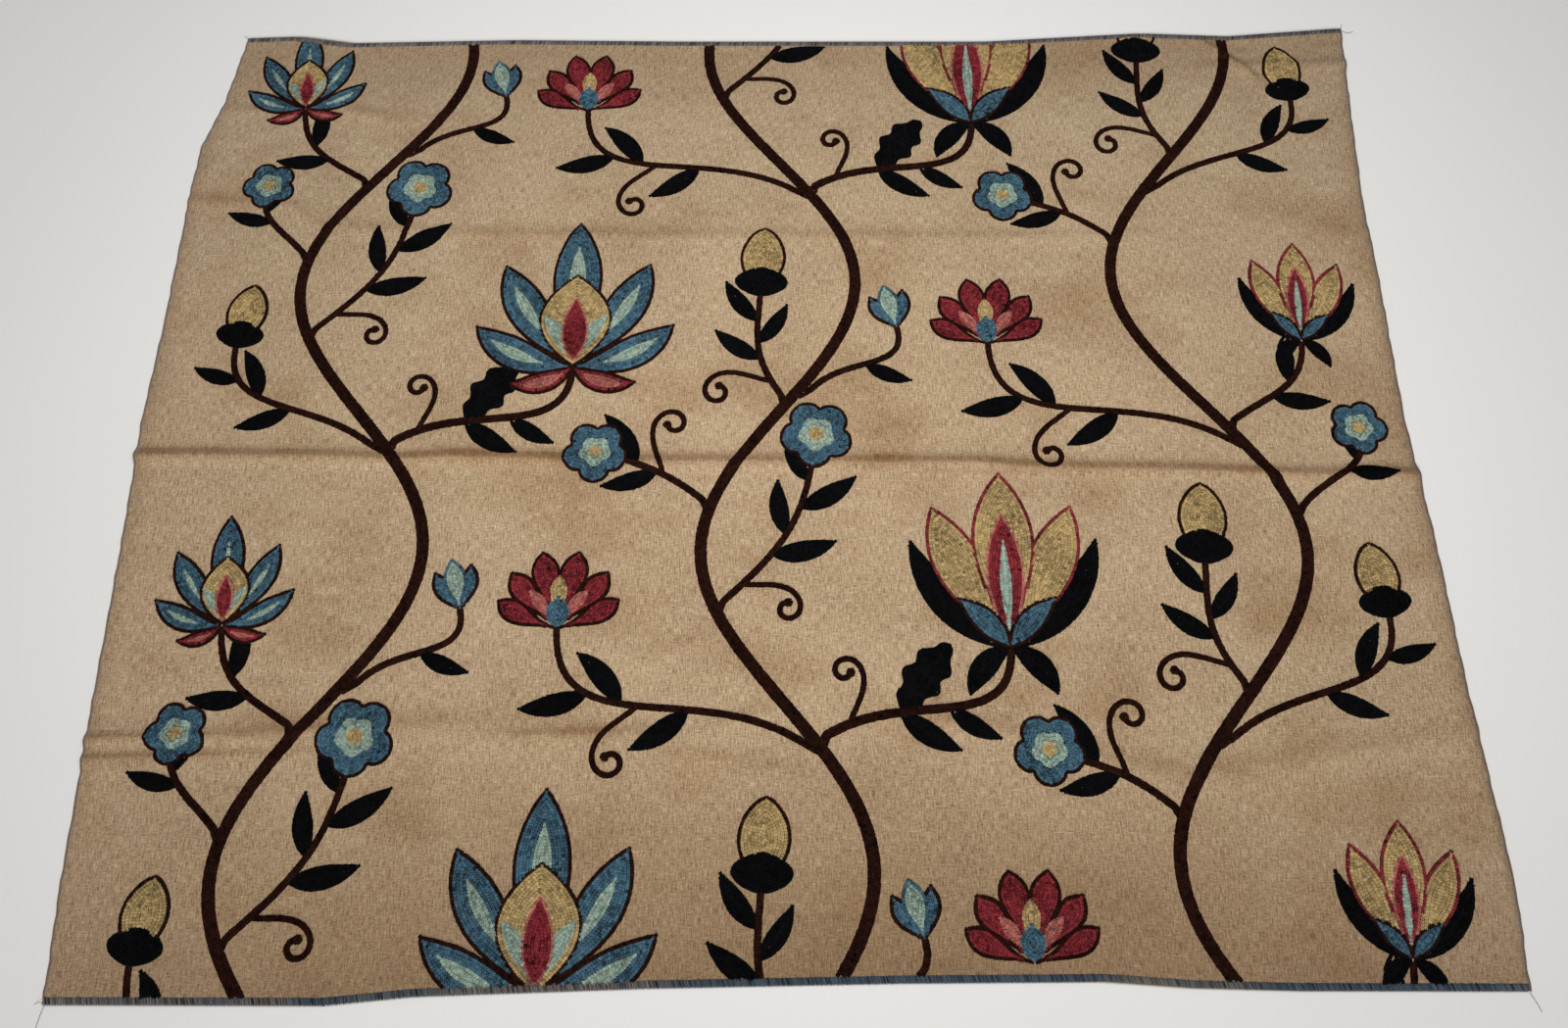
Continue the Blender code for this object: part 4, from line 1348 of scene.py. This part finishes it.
    def build(self, nodes: dict[str, bpy.types.Object]) -> list[bpy.types.Object]:
        """Work the stems and every sprig that has a solid.

        Args:
            nodes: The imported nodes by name.

        Returns:
            The pieces.
        """
        pieces = []
        heights = np.linspace(self.relief.near_y - 0.02, self.relief.far_y + 0.02, 300)
        for stem in range(3):
            stitches = Stitches()
            line = np.array([(self.layout.stem_x(stem, y), y) for y in heights])
            self.ribbon(stitches, line, (self.layout.stem_width,) * 2, Yarn.BARK)
            self.on_cloth(stitches)
            pieces.append(self.piece(f"worked_stem_{stem + 1}", f"stem_{stem + 1}", stitches, "bark_wool"))
        counts: dict[str, int] = {}
        for field_ in self.layout.fields:
            for sprig in field_.sprigs:
                flower = field_.flower if sprig.flower == "main" else sprig.flower
                for lift in (-self.layout.repeat, 0.0, self.layout.repeat):
                    stitches = self.sprig(sprig, field_, lift)
                    if self.on_cloth(stitches) < self.smallest:
                        continue
                    counts[flower] = counts.get(flower, 0) + 1
                    node = f"sprig_{flower}_{counts[flower]:02d}"
                    if node not in nodes:
                        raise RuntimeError(f"no solid for {node}")
                    pieces.append(self.piece(f"worked_{node}", node, stitches, SLOTS[flower]))
        return pieces


SLOTS = {"palmette": "blue_wool", "rose": "blue_wool", "tulip": "gold_wool", "acorn": "gold_wool",
         "carnation": "crimson_wool", "bud": "aqua_wool"}


NEAR_TAILS = (
    ((-0.6790, -0.5505, 0.0012), (-0.6812, -0.5580, 0.0004), (-0.6830, -0.5660, 0.0003),
     (-0.6836, -0.5750, 0.0003)),
    ((-0.6800, -0.5500, 0.0014), (-0.6850, -0.5480, 0.0006), (-0.6890, -0.5510, 0.0003)),
    ((0.6790, -0.5510, 0.0012), (0.6822, -0.5560, 0.0005), (0.6850, -0.5620, 0.0003),
     (0.6868, -0.5672, 0.0003)),
)
FAR_TAILS = (
    ((0.6945, 0.5480, 0.0012), (0.6968, 0.5515, 0.0010), (0.6985, 0.5565, 0.0004)),
    ((0.6945, 0.5470, 0.0012), (0.7000, 0.5440, 0.0006), (0.7055, 0.5432, 0.0003),
     (0.7105, 0.5455, 0.0003)),
    ((-0.6580, 0.5500, 0.0012), (-0.6600, 0.5540, 0.0006), (-0.6640, 0.5560, 0.0003)),
)


@dataclass
class Edging:
    """The overlocked thread along one cut edge, with the loose tails at its ends."""

    relief: Relief
    finishes: Finishes
    surface: float
    far: bool
    pitch: float = 0.0014
    reach: float = 0.0064
    strand: float = 0.00050
    tail_radius: float = 0.00022
    band_steps: int = 300
    random: np.random.Generator = field(default_factory=lambda: np.random.default_rng(5))

    def tube(self, path: np.ndarray, radius: float) -> tuple[np.ndarray, np.ndarray]:
        """A three-sided thread along a path.

        Args:
            path: Points of its middle.
            radius: Its radius.

        Returns:
            Points and triangles.
        """
        run = np.gradient(path, axis=0)
        run /= np.linalg.norm(run, axis=1)[:, None]
        side = np.cross(run, (1.0, 0.3, 0.2))
        side /= np.linalg.norm(side, axis=1)[:, None]
        other = np.cross(run, side)
        angles = np.array([0.0, 2.094, 4.189])
        ring = side[:, None] * np.cos(angles)[:, None] + other[:, None] * np.sin(angles)[:, None]
        verts = (path[:, None] + ring * radius).reshape(-1, 3)
        faces = [(2, 1, 0)]
        for part in range(len(path) - 1):
            for corner in range(3):
                a, b = part * 3 + corner, part * 3 + (corner + 1) % 3
                faces += [(a, b, a + 3), (b, b + 3, a + 3)]
        last = (len(path) - 1) * 3
        faces.append((last, last + 1, last + 2))
        return verts, np.array(faces)

    def loop(self) -> np.ndarray:
        """The middle of one overlock stitch: over the edge, round it and back under.

        Returns:
            Points with x along the edge, y inwards from it and z over the underside.
        """
        top, low = self.surface + 0.0003, -0.0003
        return np.array([(0.0, self.reach, self.surface), (0.0006, self.reach * 0.72, top + 0.0001),
                         (0.0017, self.reach * 0.20, top + 0.0001), (0.0020, -0.0006, low + 0.0006),
                         (0.0016, self.reach * 0.4, low)])

    def build(self) -> bpy.types.Object:
        """Make the edging along the whole cut edge.

        Returns:
            The edging.
        """
        name = "edging_far" if self.far else "edging_near"
        low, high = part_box(name)
        edge = self.relief.far_edge if self.far else self.relief.near_edge
        count = int((high.x - low.x - 0.004) / self.pitch)
        starts = low.x + 0.001 + np.arange(count) * self.pitch
        form, triangles = self.tube(self.loop(), self.strand)
        x = starts[:, None] + form[:, 0] + self.random.normal(0.0, 0.00022, (count, 1))
        depth = form[:, 1] * self.random.uniform(0.90, 1.08, (count, 1))
        y = edge(starts)[:, None] + (-depth if self.far else depth)
        z = self.relief.edge_lift + form[:, 2] * self.random.uniform(0.9, 1.15, (count, 1))
        verts = np.stack([x, y, z], axis=2).reshape(-1, 3)
        faces = (triangles[:, None, :] + (np.arange(count) * len(form))[None, :, None]).reshape(-1, 3)
        if not self.far:
            faces = faces[:, ::-1]
        tones = np.repeat(self.random.normal(0.42, 0.50, count), len(form))
        across = np.linspace(low.x + 0.001, high.x - 0.001, self.band_steps + 1)
        near_side, far_side = (edge(across) + way * (-1 if self.far else 1) for way in (0.0001, self.reach))
        height = np.full(len(across), self.relief.edge_lift + self.surface + 0.0001)
        band = np.concatenate([np.stack([across, near_side, height], axis=1),
                               np.stack([across, far_side, height], axis=1)])
        first = np.arange(self.band_steps)
        second = first + len(across)
        strip = np.concatenate([np.stack([first, first + 1, second + 1], axis=1),
                                np.stack([first, second + 1, second], axis=1)])
        faces = np.vstack([faces, (strip[:, ::-1] if self.far else strip) + len(verts)])
        verts = np.vstack([verts, band])
        tones = np.concatenate([tones, np.full(len(band), 0.0)])
        for tail in FAR_TAILS if self.far else NEAR_TAILS:
            more, extra = self.tube(self.eased(np.array(tail)), self.tail_radius)
            faces = np.vstack([faces, extra + len(verts)])
            verts = np.vstack([verts, more])
            tones = np.concatenate([tones, np.full(len(more), 0.1)])
        thing = show(name + "_thread", verts, faces, [self.finishes.overlock()], None, tones)
        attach(thing, "root")
        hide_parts(name)
        LOG.info("%s: %d stitches", name, count)
        return thing

    @staticmethod
    def eased(points: np.ndarray) -> np.ndarray:
        """Round off a path by cutting its corners twice."""
        for _ in range(2):
            cut = np.stack([points[:-1] * 0.75 + points[1:] * 0.25, points[:-1] * 0.25 + points[1:] * 0.75], axis=1)
            points = np.vstack([points[:1], cut.reshape(-1, 3), points[-1:]])
        return points


@dataclass
class Studio:
    """A pale floor, soft light, and the camera at the photograph's angle."""

    finishes: Finishes
    camera_place: tuple[float, float, float] = (0.0062, -0.4796, 1.1244)
    forward: tuple[float, float, float] = (-0.00332, 0.33455, -0.94237)
    roll: float = -1.07
    focal: float = 25.99
    sensor: float = 36.0
    window_from: tuple[float, float, float] = (-0.30, -1.0, 0.62)
    window_width: float = 18.0
    window_strength: float = 1.9
    ceiling_power: float = 9.2
    sky_strength: float = 0.27

    def camera(self) -> None:
        """Place the camera."""
        data = bpy.data.cameras.new("camera")
        data.lens = self.focal
        data.sensor_width = self.sensor
        data.sensor_fit = "HORIZONTAL"
        forward = Vector(self.forward).normalized()
        level = forward.cross(Vector((0, 0, 1))).normalized()
        turn = Matrix((level, level.cross(forward), -forward)).transposed()
        turn = Matrix.Rotation(math.radians(self.roll), 3, -forward) @ turn
        thing = bpy.data.objects.new("camera", data)
        thing.matrix_world = Matrix.Translation(self.camera_place) @ turn.to_4x4()
        bpy.context.scene.collection.objects.link(thing)
        bpy.context.scene.camera = thing

    def lamp(self, name: str, place: tuple[float, float, float], size: float, power: float,
             warmth: tuple[float, float, float]) -> None:
        """A square soft lamp that faces the middle of the cloth."""
        data = bpy.data.lights.new(name, "AREA")
        data.size = size
        data.energy = power
        data.color = warmth
        thing = bpy.data.objects.new(name, data)
        thing.location = place
        thing.rotation_euler = (Vector((0.0, 0.02, 0.0)) - Vector(place)).to_track_quat("-Z", "Y").to_euler()
        bpy.context.scene.collection.objects.link(thing)

    def build(self) -> None:
        """Make the floor, the light and the camera."""
        bm = bmesh.new()
        bmesh.ops.create_grid(bm, x_segments=1, y_segments=1, size=6.0)
        bmesh.ops.translate(bm, verts=bm.verts, vec=(0, 0, -0.0005))
        mesh = bpy.data.meshes.new("floor")
        bm.to_mesh(mesh)
        bm.free()
        mesh.materials.append(self.finishes.floor())
        floor = bpy.data.objects.new("floor", mesh)
        bpy.context.scene.collection.objects.link(floor)
        sun = bpy.data.lights.new("low_window", "SUN")
        sun.energy = self.window_strength
        sun.angle = math.radians(self.window_width)
        sun.color = (1.0, 0.98, 0.95)
        window = bpy.data.objects.new("low_window", sun)
        window.rotation_euler = Vector(self.window_from).to_track_quat("Z", "Y").to_euler()
        bpy.context.scene.collection.objects.link(window)
        self.lamp("ceiling", (0.03, 0.02, 1.12), 0.7, self.ceiling_power, (1.0, 0.98, 0.95))
        world = bpy.data.worlds.new("world")
        world.use_nodes = True
        world.node_tree.nodes["Background"].inputs[0].default_value = (0.93, 0.95, 1.0, 1.0)
        world.node_tree.nodes["Background"].inputs[1].default_value = self.sky_strength
        bpy.context.scene.world = world
        bpy.context.scene.view_settings.view_transform = "Standard"
        self.camera()


def corners(box: tuple[Vector, Vector]) -> list[list[float]]:
    """A box as plain numbers."""
    return [list(box[0]), list(box[1])]


def main() -> None:
    """Build the panel's looks."""
    logging.basicConfig(level=logging.INFO, format="%(message)s")
    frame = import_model()
    relief = Relief()
    finishes = Finishes()
    Studio(finishes).build()
    linen = Linen(relief, finishes)
    cloth = linen.build()
    surface = linen.clearance + linen.thickness
    edgings = [Edging(relief, finishes, surface, far).build() for far in (False, True)]
    work = CrewelWork(relief, finishes, linen).build(frame["nodes"])
    total = sum(len(piece.data.polygons) for piece in work + edgings) + 4 * len(cloth.data.polygons)
    LOG.info("%d worked pieces, %d triangles in all", len(work), total)


if __name__ == "__main__":
    main()
